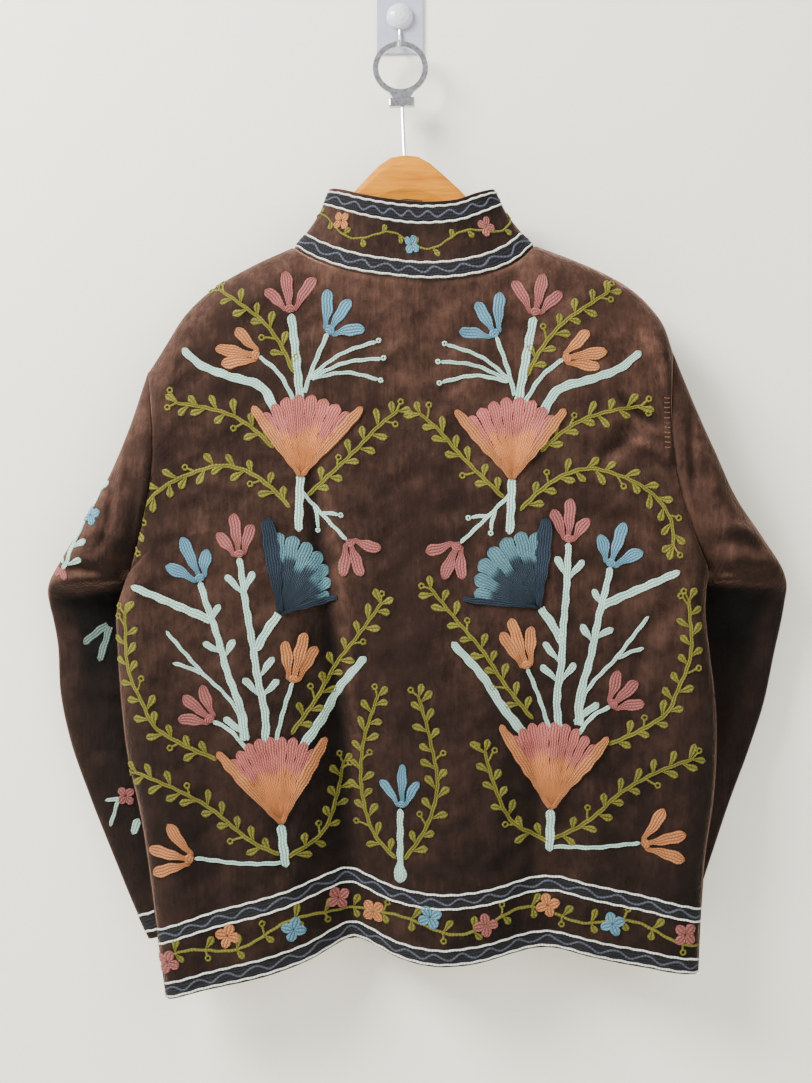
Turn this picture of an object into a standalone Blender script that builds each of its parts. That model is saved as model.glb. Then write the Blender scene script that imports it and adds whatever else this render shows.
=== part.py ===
"""A short velvet coat with a stand collar, hung on a wooden hanger from a wall hook and seen from its back.

Frame: the origin is on the wall, behind the hook. +Z is up, the wall is the plane Y = 0, and the coat's back
faces -Y. Sizes are millimetres in this file and metres in the model.
"""

import math

import bmesh
import bpy
import numpy as np

MM = 0.001

# Cloth
CLOTH = 2.0            # thickness of the velvet with its backing
SEAM_GAP = 0.45        # each side of a seam is pulled back this far
BACK_DEPTH = -81.0     # Y of the back panel where it hangs free
FRONT_DEPTH = -17.0    # Y of the fronts at the middle of the coat
TUCK_DEPTH = -47.5     # Y of the fronts where a sleeve hangs behind them
SHOULDER_DEPTH = -47.5 # Y of the shoulder seams, on top of the hanger's arms
EDGE_ROUND = 40.0      # width over which a panel rounds into its side seam
TOP_ROUND = 44.0       # height over which a panel rounds over the hanger
CENTRE_X = 18.0        # the front opening
NAPE_SWELL = 5.0       # how far the back stands out below the collar
NAPE_Z = -330.0
NAPE_HALF = (120.0, 60.0) # half width and half height of that swell
FRONT_EASE = 6.0       # how far the fronts' sides come forward above the underarms
FRONT_TURN_LEFT = (66, 138)   # distances left of X = 0 between which the left front leaves the wall
FRONT_TURN_RIGHT = (96, 170)  # the same on the right
TUCK_BAND = (575, 632) # depths below Z = 0 between which the sleeves pass behind the coat
BACK_HEM_Z = -1000.0   # where the folds are fully formed
FRONT_HEM_Z = -985.0
FOLD_BEND = 0.8        # below 1 a fold's line is steepest at the hem
FOLD_GROWTH = 1.15     # how a fold deepens on its way down
FOLD_NARROW = 0.45     # a fold's width at its top, as a share of that at the hem
FOLD_FALL = 1.3        # how its sides run out

# Rows and columns of the panels
ARM_ROWS = 11          # along each half of an armhole
SIDE_ROWS = 15         # from the underarm to the hem
SHOULDER_COLS = 10
NECK_COLS = 16
FRONT_NECK_COLS = 7
COLLAR_ROWS = 4
SLEEVE_RINGS = 22
ELBOW_RING = 8         # a sleeve is parted in two tubes here, in the fold of its elbow
ELBOW_GAP = 0.2        # each of the two is pulled back this far
SHOULDER_EASE = 1.6    # above 1 the columns of a shoulder draw together at the armhole
UNDERARM_V = 0.34      # share of a side edge that is armhole
NECK_LEFT_S = 0.281    # share of the back's width at each end of the neck
NECK_RIGHT_S = 0.745
FRONT_NECK_S = 0.555   # share of a front's width where its shoulder ends

# Shoulder seams from the neck to the top of the armhole: x, z
SHOULDER_LEFT = [(-110, -264), (-152, -283), (-198, -311), (-219, -331), (-237, -358), (-250, -379),
                 (-259, -393)]
SHOULDER_RIGHT = [(140, -262), (180, -277), (216, -293), (238, -306), (258, -324), (270, -340),
                  (282, -373)]

# Neck seam: x, y, z
NECK_BACK = [(-110, -47.5, -264), (-106, -58, -267), (-95, -67, -275.5), (-67, -78, -289), (-39, -84, -297),
             (-12, -87, -301), (24, -88, -304.5), (51, -88, -304), (77, -86, -300), (105, -80, -291.5),
             (124, -70, -279.5), (136, -59, -266.5), (140, -47.5, -262)]
NECK_FRONT_LEFT = [(-110, -47.5, -264), (-107, -38, -268), (-98, -28, -280), (-76, -21, -303),
                   (-40, -17, -330), (15, -16, -345)]
NECK_FRONT_RIGHT = [(140, -47.5, -262), (137, -38, -266), (128, -28, -278), (107, -21, -302), (72, -17, -330),
                    (21, -16, -345)]

# Top edge of the stand collar, as far along as the rows of the neck seam: x, y, z
COLLAR_BACK = [(-73, -48, -203.5), (-69, -57, -205), (-59, -65, -208), (-40, -72, -214), (-18, -76, -219),
               (6, -77.5, -222.5), (33, -78, -223.5), (60, -76, -220.5), (78, -70, -213), (90, -62, -208),
               (97, -56, -205.5), (99, -48, -204.5)]
COLLAR_FRONT_LEFT = [(-73, -48, -203.5), (-70, -40, -207), (-61, -32, -216), (-42, -26, -235),
                     (-15, -22, -258), (15, -21, -272)]
COLLAR_FRONT_RIGHT = [(99, -48, -204.5), (97, -40, -207), (89, -32, -216), (72, -26, -235), (48, -22, -258),
                      (21, -21, -272)]

# Side seams from the underarm to the hem: x, y, z
SIDE_LEFT = [(-277, -50, -598), (-281, -50, -604), (-284, -50, -612), (-292, -50, -640), (-291, -51, -674),
             (-287, -52, -732), (-279, -54, -794), (-268, -56, -840), (-259, -57, -892), (-251, -59, -950),
             (-239, -62, -1034)]
SIDE_RIGHT = [(318, -50, -598), (319, -50, -604), (317.5, -50, -612), (316, -50, -636), (321, -51, -690),
              (326, -52, -732), (327, -53, -784), (323, -55, -836), (315, -57, -887), (310, -59, -940),
              (306, -62, -1008)]

# Hem before the folds lift it: x, z
HEM_BACK = [(-239, -1034), (-190, -1021), (-120, -1009), (0, -1004), (150, -1001), (240, -1002), (306, -1008)]
HEM_FRONT_LEFT = [(-239, -1034), (-150, -1004), (-60, -984), (15, -981)]
HEM_FRONT_RIGHT = [(306, -1008), (220, -990), (120, -981), (21, -981)]

# Folds of the back: x and z at the top, x at the hem, half width at the hem, depth and lift at the hem
BACK_FOLDS = [
    {"x_top": -92, "z_top": -455, "x_hem": -47, "width": 44, "depth": 47, "lift": 25, "sharp": 7},
    {"x_top": 152, "z_top": -700, "x_hem": 147, "width": 52, "depth": 27, "lift": 17, "sharp": 16},
    {"x_top": -200, "z_top": -440, "x_hem": -190, "width": 26, "depth": 5, "lift": 0, "sharp": 10},
    {"x_top": 232, "z_top": -500, "x_hem": 236, "width": 30, "depth": 7, "lift": 0, "sharp": 12},
    {"x_top": 40, "z_top": -620, "x_hem": 60, "width": 46, "depth": -5, "lift": 0, "sharp": 20},
]
# Soft folds of the fronts, in the same columns
FRONT_FOLDS = [
    {"x_top": -70, "z_top": -420, "x_hem": -58, "width": 34, "depth": -9, "lift": 0, "sharp": 12},
    {"x_top": 110, "z_top": -460, "x_hem": 96, "width": 32, "depth": -8, "lift": 0, "sharp": 12},
]

SLEEVE_SQUARE = 0.8    # below 1 a sleeve's section is fuller than an ellipse
# Outward directions at the top and at the underarm of an armhole: away from the body, up
ARM_TOP_OUT = (0.8, 0.6)
UNDERARM_OUT = (0.55, -0.83)
NECK_RISE = 0.75       # how far the neck seam's outward direction turns up at the shoulders
COLLAR_HOLLOW = 5.0    # the collar curves in by this at half its height

# Sleeve rings: outer edge x, z; inner edge x, z; Y of the edges, of the side to the room and of the side
# to the wall; bow towards the body
SLEEVE_LEFT = [
    (-259, -393, -277, -598, -49, -81, -20, 17),
    (-279, -453, -279.5, -599, -48, -83, -17, 8),
    (-299, -500, -281.5, -600.5, -46, -84, -14, 2),
    (-322, -542, -283, -602.5, -45, -84, -12, 0),
    (-347, -583, -284, -605, -43, -82, -10, 0),
    (-361, -606, -284, -608, -41, -74, -9, 0),
    (-366, -620, -281.5, -612.2, -37, -55, -8, 0),
    (-366, -632, -271.5, -617, -31, -44, -8, 0),
    (-363, -650, -252, -628, -26, -40, -8, 0),
    (-359, -675, -234, -655, -24, -40, -8, 0),
    (-356, -727, -211, -690, -24, -40, -8, 0),
    (-346, -775, -198, -730, -24, -40, -8, 0),
    (-326, -833, -181, -784, -24, -40, -8, 0),
    (-303, -891, -166, -845, -24, -40, -8, 0),
    (-281, -945, -153, -901, -24, -40, -8, 0),
    (-264, -984, -144, -941, -24, -40, -8, 0),
]
SLEEVE_RIGHT = [
    (282, -373, 318, -598, -49, -81, -20, 20),
    (301, -420, 320, -599.2, -48, -83, -17, 12),
    (323, -470, 321.3, -600.8, -46, -84, -14, 4),
    (347, -522, 322.4, -602.8, -45, -84, -12, 0),
    (374, -562, 323, -605.2, -43, -82, -10, 0),
    (397, -597, 322.3, -608, -41, -74, -9, 0),
    (403, -614, 318.6, -612, -37, -55, -8, 0),
    (403, -628, 308.6, -617, -31, -44, -8, 0),
    (401, -648, 289.6, -627.5, -26, -40, -8, 0),
    (394, -682, 268, -655, -24, -40, -8, 0),
    (383, -735, 247, -696, -24, -40, -8, 0),
    (366, -788, 229, -744, -24, -40, -8, 0),
    (346, -842, 209, -797, -24, -40, -8, 0),
    (328, -896, 193, -853, -24, -40, -8, 0),
    (311, -948, 181, -905, -24, -40, -8, 0),
    (299, -984, 174, -945, -24, -40, -8, 0),
]

# Hanger, in its own frame: the origin is where the ring sits on the hook, and -Z runs down the pin
SEAT = (0.0, -24.0, -47.5)
HANGER_TILT = 2.4      # degrees, right arm up
HANGER_LEAN = 5.5      # degrees, out from the wall
RING_INNER = 23.3
RING_OUTER = 29.0
RING_THICK = 2.6
RING_FOOT = 32.7       # from the ring's centre to the end of its foot
RING_STEPS = 40
RING_FOOT_HALF = 10.0
CLIP_SIZE = (27.0, 8.0, 9.2)
CLIP_BEVEL = 1.2
PIN_RADIUS = 1.9
WOOD_TOP = 121.5       # from the seat down to the top of the wood
WOOD_LIFT = 1.9        # raises the arms until they carry the cloth
# Arms from the middle to the tip: x, top edge, bottom edge, half thickness
WOOD_ARM = [(0, -121.5, -168, 8), (14, -123.5, -170, 8), (26, -131, -174, 8), (38, -142.5, -180, 8),
            (54, -159, -192, 8), (78, -187, -214, 8), (100, -212, -235, 8), (118, -225, -248, 8),
            (134, -233.5, -256, 8.5), (168, -250, -273, 10), (203, -268, -290, 11), (222, -281, -299, 10),
            (232, -291, -301, 8), (236, -296, -299, 4)]

# Wall hook
PLATE_SIZE = (50.0, 2.4, 94.0)
PLATE_BEVEL = 0.8
DOME_RADIUS = 14.5
DOME_Z = -8.0
DOME_HEIGHT = 10.0
DOME_RINGS = 4
DOME_AROUND = 16
WIRE_RADIUS = 1.5
WIRE_STEPS = 25
FIT_GAP = 0.3
WIRE_TOP = DOME_Z - DOME_RADIUS - FIT_GAP
WIRE_SEAT = SEAT[2] - WIRE_RADIUS - 1.5 * FIT_GAP
# The wire hook from under the dome, through the ring's seat, to its tip: x, y, z
WIRE_ROUTE = [(0, -4.8, WIRE_TOP), (0, -5.5, WIRE_TOP - 8), (0, -8, -40), (0, -13, -46.5),
              (0, -19, WIRE_SEAT + 0.3), (0, -24, WIRE_SEAT), (0, -29, WIRE_SEAT + 0.4), (0, -33, -46),
              (0, -34.5, -39)]
SHARP_ANGLE = math.radians(50)  # edges above this stay crisp

COLOURS = {
    "velvet": ((0.085, 0.042, 0.030), 0.85, 0.0),
    "wood": ((0.62, 0.36, 0.13), 0.45, 0.0),
    "steel": ((0.62, 0.64, 0.68), 0.3, 1.0),
    "plastic": ((0.62, 0.64, 0.72), 0.35, 0.0),
}


def clear_scene():
    for obj in list(bpy.data.objects):
        bpy.data.objects.remove(obj)


def material(name):
    found = bpy.data.materials.get(name)
    if found:
        return found
    made = bpy.data.materials.new(name)
    made.use_nodes = True
    colour, roughness, metallic = COLOURS[name]
    shader = made.node_tree.nodes["Principled BSDF"]
    shader.inputs["Base Color"].default_value = (*colour, 1.0)
    shader.inputs["Roughness"].default_value = roughness
    shader.inputs["Metallic"].default_value = metallic
    return made


def spline(table, share):
    """Points at the given shares of the way along a smooth curve through the table's rows."""
    rows = np.array(table, float)
    steps = np.linalg.norm(np.diff(rows, axis=0), axis=1)
    knots = np.concatenate([[0.0], np.cumsum(steps)]) / steps.sum()
    slopes = np.gradient(rows, knots, axis=0)
    share = np.clip(np.asarray(share, float), 0.0, 1.0)
    k = np.clip(np.searchsorted(knots, share, side="right") - 1, 0, len(knots) - 2)
    span = (knots[k + 1] - knots[k])[:, None]
    t = ((share - knots[k]) / span[:, 0])[:, None]
    return ((2 * t**3 - 3 * t**2 + 1) * rows[k] + (t**3 - 2 * t**2 + t) * span * slopes[k]
            + (3 * t**2 - 2 * t**3) * rows[k + 1] + (t**3 - t**2) * span * slopes[k + 1])


def smooth(x, low, high):
    """0 at low and 1 at high, with soft ends."""
    t = np.clip((x - low) / (high - low), 0.0, 1.0)
    return t * t * (3 - 2 * t)


def quarter_round(distance, width):
    """1 at an edge, falling to 0 at width from it along a quarter of an ellipse."""
    t = np.clip(1 - distance / width, 0.0, 1.0)
    return 1 - np.sqrt(np.clip(1 - t * t, 0.0, 1.0))


def unit(vectors):
    return vectors / np.maximum(np.linalg.norm(vectors, axis=-1, keepdims=True), 1e-9)


def fold_share(fold, x, z, hem_z):
    """How far a fold reaches at each point: 0 above its top, and 1 in its valley at the hem."""
    down = np.clip((fold["z_top"] - z) / (fold["z_top"] - hem_z), 0.0, 1.0)
    middle = fold["x_top"] + (fold["x_hem"] - fold["x_top"]) * down**FOLD_BEND
    width = fold["width"] * (FOLD_NARROW + (1 - FOLD_NARROW) * down)
    off = np.sqrt((x - middle) ** 2 + fold["sharp"] ** 2) - fold["sharp"]
    return down**FOLD_GROWTH * np.exp(-((off / width) ** FOLD_FALL))


def lifted_hem(table, share, folds):
    """The hem's x and z, raised where a fold draws it in."""
    line = spline(table, share)
    for fold in folds:
        line[:, 1] += fold["lift"] * fold_share(fold, line[:, 0], line[:, 1], line[:, 1])
    return line


def sleeve_ring(rings, along, angles):
    """Points round the sleeve. Angle 0 is its outer edge, 90 degrees the room and 180 the underarm."""
    row = spline(rings, np.atleast_1d(along))[:, None, :]
    outer, inner = row[..., 0:2], row[..., 2:4]
    edge_y, room_y, wall_y, bow = (row[..., k] for k in (4, 5, 6, 7))
    across = (outer - inner) / 2
    inward = np.stack([-across[..., 1], across[..., 0]], axis=-1)
    inward = unit(inward) * np.where(rings[0][0] < 0, -1.0, 1.0)
    cos, sin = np.cos(angles)[None, :], np.sin(angles)[None, :]
    flat = np.sign(sin) * np.abs(sin) ** SLEEVE_SQUARE
    xz = (outer + inner) / 2 + across * cos[..., None] + inward * (bow * sin**2)[..., None]
    y = edge_y + np.where(flat > 0, (room_y - edge_y) * flat, (edge_y - wall_y) * flat)
    return np.stack([xz[..., 0], y, xz[..., 1]], axis=-1)


def side_edge(rings, seam, v, face):
    """A panel's side edge down to the hem: half the armhole, then the side seam. Face is 1 or -1."""
    v = np.asarray(v, float)
    arm = np.arccos(np.clip(1 - 2 * v / UNDERARM_V, -1.0, 1.0))
    upper = sleeve_ring(rings, 0.0, face * arm)[0]
    lower = spline(seam, (v - UNDERARM_V) / (1 - UNDERARM_V))
    return np.where((v <= UNDERARM_V)[:, None], upper, lower)


def patch(top, hem, left, right, s, v):
    """A surface between four edges, blended from opposite pairs less the corners, in x and z."""
    s, v = s[None, :, None], v[:, None, None]
    corners = ((1 - s) * (1 - v) * top[0] + s * (1 - v) * top[-1] + (1 - s) * v * hem[0] + s * v * hem[-1])
    return ((1 - v) * top[None] + v * hem[None] + (1 - s) * left[:, None] + s * right[:, None] - corners)


def back_depth(x, z):
    y = np.full(x.shape, BACK_DEPTH)
    y -= NAPE_SWELL * np.exp(-(((x - CENTRE_X) / NAPE_HALF[0]) ** 2) - ((z - NAPE_Z) / NAPE_HALF[1]) ** 2)
    for fold in BACK_FOLDS:
        y += fold["depth"] * fold_share(fold, x, z, BACK_HEM_Z)
    return y


def front_depth(x, z):
    """Near the wall in the middle, and held off it at the sides, where the sleeves hang behind the coat."""
    side = np.maximum(smooth(-x, *FRONT_TURN_LEFT), smooth(x, *FRONT_TURN_RIGHT))
    low = smooth(-z, *TUCK_BAND)
    y = FRONT_DEPTH + (TUCK_DEPTH - FRONT_DEPTH) * side * low
    y -= FRONT_EASE * side * (1 - low)
    for fold in FRONT_FOLDS:
        y += fold["depth"] * fold_share(fold, x, z, FRONT_HEM_Z)
    return y


def panel(top, hem, left, right, s, v, depth, round_right=True):
    """A body panel's points. Its depth eases into the depth of its top and side edges, less the corners."""
    xz = patch(top[:, [0, 2]], hem, left[:, [0, 2]], right[:, [0, 2]], s, v)
    x, z = xz[..., 0], xz[..., 1]
    y = depth(x, z)
    from_top = np.linalg.norm(xz - xz[:1], axis=-1)
    from_left = np.linalg.norm(xz - xz[:, :1], axis=-1)
    from_right = np.linalg.norm(xz - xz[:, -1:], axis=-1)
    at_left = quarter_round(from_left, EDGE_ROUND)
    at_right = quarter_round(from_right, EDGE_ROUND) if round_right else np.zeros(y.shape)
    at_top = quarter_round(from_top, TOP_ROUND)
    corner = at_top * (at_left * (top[0, 1] - y) + at_right * (top[-1, 1] - y))
    y += (at_left * (left[:, None, 1] - y) + at_right * (right[:, None, 1] - y)
          + at_top * (top[None, :, 1] - y) - corner)
    return np.stack([x, y, z], axis=-1)


def rows_down():
    arm = UNDERARM_V * (1 - np.cos(np.linspace(0, math.pi, ARM_ROWS + 1))) / 2
    side = np.linspace(UNDERARM_V, 1, SIDE_ROWS + 1)[1:]
    return np.concatenate([arm, side])


def shoulder_shares():
    """From the armhole towards the neck, closest together at the armhole."""
    return np.linspace(0, 1, SHOULDER_COLS + 1) ** SHOULDER_EASE


def shoulder_points(table, share_from_tip):
    xz = spline(table, 1 - share_from_tip)
    return np.stack([xz[:, 0], np.full(len(xz), SHOULDER_DEPTH), xz[:, 1]], axis=-1)


def back_panel_points():
    ease = shoulder_shares()
    neck = np.linspace(0, 1, NECK_COLS + 1)
    s = np.concatenate([NECK_LEFT_S * ease, NECK_LEFT_S + (NECK_RIGHT_S - NECK_LEFT_S) * neck[1:-1],
                        1 - (1 - NECK_RIGHT_S) * ease[::-1]])
    v = rows_down()
    top = np.concatenate([shoulder_points(SHOULDER_LEFT, ease), spline(NECK_BACK, neck[1:-1]),
                          shoulder_points(SHOULDER_RIGHT, ease[::-1])])
    left = side_edge(SLEEVE_LEFT, SIDE_LEFT, v, 1)
    right = side_edge(SLEEVE_RIGHT, SIDE_RIGHT, v, 1)
    top[0], top[-1] = left[0], right[0]
    return panel(top, lifted_hem(HEM_BACK, s, BACK_FOLDS), left, right, s, v, back_depth)


def front_panel_points(shoulder, neck_table, rings, seam, hem_table):
    ease = shoulder_shares()
    neck = np.linspace(0, 1, FRONT_NECK_COLS + 1)
    s = np.concatenate([FRONT_NECK_S * ease, FRONT_NECK_S + (1 - FRONT_NECK_S) * neck[1:]])
    v = rows_down()
    top = np.concatenate([shoulder_points(shoulder, ease), spline(neck_table, neck[1:])])
    side = side_edge(rings, seam, v, -1)
    top[0] = side[0]
    hem = lifted_hem(hem_table, s, FRONT_FOLDS)
    edge = np.stack([np.full(len(v), top[-1, 0]), np.full(len(v), FRONT_DEPTH),
                     top[-1, 2] + (hem[-1, 1] - top[-1, 2]) * v], axis=-1)
    return panel(top, hem, side, edge, s, v, front_depth, round_right=False)


def grid_normals(points):
    """The surface's normals on a grid of points, by the cross product of its two directions."""
    down = np.gradient(points, axis=0)
    along = np.gradient(points, axis=1)
    return unit(np.cross(down, along))


def neck_normals(loop):
    """Between the collar's outward direction and the shoulder's upward one."""
    out = loop - np.array([CENTRE_X, SHOULDER_DEPTH, 0.0])
    out[:, 2] = 0
    side = np.abs(unit(out)[:, 0])
    normals = unit(out)
    normals[:, 2] = NECK_RISE * side**2
    return unit(normals)


def arm_normals(rings, angles):
    """Round the armhole: up and out at the top, down and out at the underarm, and level in between."""
    sign = math.copysign(1.0, rings[0][0])
    top = np.array([ARM_TOP_OUT[0] * sign, 0.0, ARM_TOP_OUT[1]])
    under = np.array([UNDERARM_OUT[0] * sign, 0.0, UNDERARM_OUT[1]])
    cos = np.cos(angles)[:, None]
    sin = np.sin(angles)[:, None]
    return unit(np.where(cos > 0, cos * top, -cos * under) - sin * np.array([0.0, 1.0, 0.0]))


def seam_normals(table):
    """Up from a shoulder seam, across its slope."""
    line = shoulder_points(table, shoulder_shares())
    run = np.gradient(line, axis=0)
    return unit(np.stack([-run[:, 2], np.zeros(len(run)), run[:, 0]], axis=-1) * np.sign(run[:, :1]))


def side_normals(sign, count):
    return np.tile([sign, 0.0, 0.0], (count, 1))


def pull_back(points, edges, gap=SEAM_GAP):
    """Draws the named edges of a grid in by a gap."""
    out = points.copy()
    steps = {"top": (0, 1), "bottom": (-1, -2)}
    for edge in edges:
        if edge in steps:
            at, to = steps[edge]
            out[at] += unit(points[to] - points[at]) * gap
        else:
            at, to = (0, 1) if edge == "left" else (-1, -2)
            out[:, at] += unit(points[:, to] - points[:, at]) * gap
    return out


def add_mesh(name, points, faces, look, parent=None):
    mesh = bpy.data.meshes.new(name)
    mesh.from_pydata((np.asarray(points) * MM).tolist(), [], faces)
    tidy = bmesh.new()
    tidy.from_mesh(mesh)
    bmesh.ops.recalc_face_normals(tidy, faces=tidy.faces)
    if tidy.calc_volume(signed=True) < 0:
        bmesh.ops.reverse_faces(tidy, faces=tidy.faces)
    tidy.to_mesh(mesh)
    tidy.free()
    mesh.shade_smooth()
    mesh.set_sharp_from_angle(angle=SHARP_ANGLE)
    obj = bpy.data.objects.new(name, mesh)
    obj.data.materials.append(material(look))
    bpy.context.scene.collection.objects.link(obj)
    obj.parent = parent
    return obj


def grid_faces(rows, cols, start, wrap=False):
    """Triangles over a grid of points, all cut along the same diagonal."""
    faces = []
    for i in range(rows - 1):
        for j in range(cols if wrap else cols - 1):
            a = start + i * cols + j
            b = start + i * cols + (j + 1) % cols
            faces += [(a, b, b + cols), (a, b + cols, a + cols)]
    return faces


def wall(name, outer, inner, look, wrap=False):
    """A closed wall between two grids of points, with its rims."""
    rows, cols = outer.shape[:2]
    count = rows * cols
    faces = grid_faces(rows, cols, 0, wrap)
    faces += [face[::-1] for face in grid_faces(rows, cols, count, wrap)]
    loops = [[i * cols + j for j in range(cols)] for i in (0, rows - 1)]
    if wrap:
        rims = [loop + loop[:1] for loop in loops]
    else:
        left = [i * cols for i in range(rows)]
        right = [i * cols + cols - 1 for i in range(rows)]
        rims = [*loops, left, right]
    for rim in rims:
        for a, b in zip(rim, rim[1:]):
            faces += [(a, b, b + count), (a, b + count, a + count)]
    return add_mesh(name, np.concatenate([outer.reshape(-1, 3), inner.reshape(-1, 3)]), faces, look)


def build_back():
    outer = back_panel_points()
    normals = grid_normals(outer)
    angles = np.linspace(0, math.pi, ARM_ROWS + 1)
    neck = slice(SHOULDER_COLS + 1, SHOULDER_COLS + NECK_COLS)
    normals[0, : SHOULDER_COLS + 1] = seam_normals(SHOULDER_LEFT)
    normals[0, -SHOULDER_COLS - 1 :] = seam_normals(SHOULDER_RIGHT)[::-1]
    normals[0, neck] = neck_normals(outer[0, neck])
    for column in (SHOULDER_COLS, SHOULDER_COLS + NECK_COLS):
        normals[0, column] = neck_normals(outer[0, column : column + 1])[0]
    normals[: ARM_ROWS + 1, 0] = arm_normals(SLEEVE_LEFT, angles)
    normals[: ARM_ROWS + 1, -1] = arm_normals(SLEEVE_RIGHT, angles)
    normals[ARM_ROWS + 1 :, 0] = side_normals(-1, SIDE_ROWS)
    normals[ARM_ROWS + 1 :, -1] = side_normals(1, SIDE_ROWS)
    outer = pull_back(outer, ["top", "left", "right"])
    wall("back_panel", outer, outer - normals * CLOTH, "velvet")


def build_front(name, shoulder, neck_table, rings, seam, hem_table):
    outer = front_panel_points(shoulder, neck_table, rings, seam, hem_table)
    sign = math.copysign(1.0, rings[0][0])
    normals = grid_normals(outer) * sign
    angles = -np.linspace(0, math.pi, ARM_ROWS + 1)
    neck = neck_normals(outer[0, SHOULDER_COLS:])
    normals[0, : SHOULDER_COLS + 1] = seam_normals(shoulder)
    normals[0, SHOULDER_COLS:] = neck
    normals[: ARM_ROWS + 1, 0] = arm_normals(rings, angles)
    normals[ARM_ROWS + 1 :, 0] = side_normals(sign, SIDE_ROWS)
    outer = pull_back(outer, ["top", "left"])
    wall(name, outer, outer - normals * CLOTH, "velvet")


def build_sleeve(name, rings):
    """One cut piece in two tubes, from the armhole to the elbow and from there to the cuff."""
    angles = np.linspace(0, 2 * math.pi, 2 * ARM_ROWS + 1)[:-1]
    along = np.linspace(0, 1, SLEEVE_RINGS + 1)
    outer = sleeve_ring(rings, along, angles)
    wrapped = np.concatenate([outer[:, -1:], outer, outer[:, :1]], axis=1)
    sign = math.copysign(1.0, rings[0][0])
    normals = grid_normals(wrapped)[:, 1:-1] * -sign
    normals[0] = arm_normals(rings, angles)
    outer = pull_back(outer, ["top"])
    parts = {"upper": (slice(0, ELBOW_RING + 1), "bottom"), "lower": (slice(ELBOW_RING, None), "top")}
    for part, (rows, parted) in parts.items():
        tube_points = pull_back(outer[rows], [parted], ELBOW_GAP)
        inner = tube_points - normals[rows] * CLOTH
        wall(f"{name}_{part}", tube_points, inner, "velvet", wrap=True)


def collar_loop(front_left, back, front_right):
    """Along the collar from one front end, round the back of the neck, to the other."""
    half = np.linspace(0, 1, FRONT_NECK_COLS + 1)
    middle = spline(back, np.linspace(0, 1, NECK_COLS + 1))[1:-1]
    return np.concatenate([spline(front_left, half)[::-1], middle, spline(front_right, half)])


def collar_points(rows):
    base = collar_loop(NECK_FRONT_LEFT, NECK_BACK, NECK_FRONT_RIGHT)
    top = collar_loop(COLLAR_FRONT_LEFT, COLLAR_BACK, COLLAR_FRONT_RIGHT)
    q = np.linspace(1, 0, rows + 1)[:, None, None]
    hollow = unit((base - top) * [1, 1, 0]) * COLLAR_HOLLOW
    return (1 - q) * base[None] + q * top[None] - hollow[None] * np.sin(q * math.pi)


def build_collar():
    outer = collar_points(COLLAR_ROWS)
    normals = grid_normals(outer)
    normals[-1] = neck_normals(collar_loop(NECK_FRONT_LEFT, NECK_BACK, NECK_FRONT_RIGHT))
    outer = pull_back(outer, ["bottom"])
    wall("collar", outer, outer - normals * CLOTH, "velvet")


def hanging_frame():
    """The empty that the hanger, pin and ring hang from, where the ring sits on the hook."""
    empty = bpy.data.objects.new("hanging", None)
    bpy.context.scene.collection.objects.link(empty)
    empty.location = [c * MM for c in SEAT]
    empty.rotation_euler = (-math.radians(HANGER_LEAN), -math.radians(HANGER_TILT), 0)
    return empty


def build_hanger(parent):
    """A wooden arm on each side: a rounded section swept from tip to tip."""
    table = np.array(WOOD_ARM, float)
    stations = np.concatenate([table[:0:-1] * [-1, 1, 1, 1], table])
    corner = [(1, 0.55), (0.6, 1), (-0.6, 1), (-1, 0.55), (-1, -0.55), (-0.6, -1), (0.6, -1), (1, -0.55)]
    points = []
    for x, top, bottom, half in stations:
        middle, tall = (top + bottom) / 2 + WOOD_LIFT, (top - bottom) / 2
        points += [(x, half * across, middle + tall * up) for across, up in corner]
    count, ring = len(stations), len(corner)
    faces = grid_faces(count, ring, 0, wrap=True)
    faces.append(tuple(range(ring)))
    faces.append(tuple((count - 1) * ring + k for k in range(ring))[::-1])
    add_mesh("hanger", points, faces, "wood", parent)


def build_ring(parent):
    """A flat steel ring with a short foot."""
    angles = np.linspace(0, 2 * math.pi, RING_STEPS + 1)[:-1]
    cos, sin = np.cos(angles), np.sin(angles)
    inner = RING_INNER * np.stack([cos, sin], axis=-1)
    outer = RING_OUTER * np.stack([cos, sin], axis=-1)
    foot = (sin < 0) & (np.abs(outer[:, 0]) < RING_FOOT_HALF)
    outer[foot, 1] = -RING_FOOT
    points = []
    for y in (-RING_THICK / 2, RING_THICK / 2):
        for outline in (inner, outer):
            points += [(x, y, z - RING_INNER) for x, z in outline]
    n = RING_STEPS
    faces = []
    for k in range(n):
        m = (k + 1) % n
        faces += [(k, m, n + m, n + k), (2 * n + m, 2 * n + k, 3 * n + k, 3 * n + m),
                  (m, k, 2 * n + k, 2 * n + m), (n + k, n + m, 3 * n + m, 3 * n + k)]
    add_mesh("ring", points, faces, "steel", parent)


def box(name, size, centre, look, bevel, parent=None):
    made = bmesh.new()
    bmesh.ops.create_cube(made, size=1.0)
    bmesh.ops.scale(made, vec=[c * MM for c in size], verts=made.verts)
    bmesh.ops.bevel(made, geom=made.edges, offset=bevel * MM, segments=2, affect="EDGES", profile=0.5)
    mesh = bpy.data.meshes.new(name)
    made.to_mesh(mesh)
    made.free()
    mesh.shade_smooth()
    mesh.set_sharp_from_angle(angle=SHARP_ANGLE)
    obj = bpy.data.objects.new(name, mesh)
    obj.data.materials.append(material(look))
    bpy.context.scene.collection.objects.link(obj)
    obj.parent = parent
    obj.location = [c * MM for c in centre]
    return obj


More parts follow.
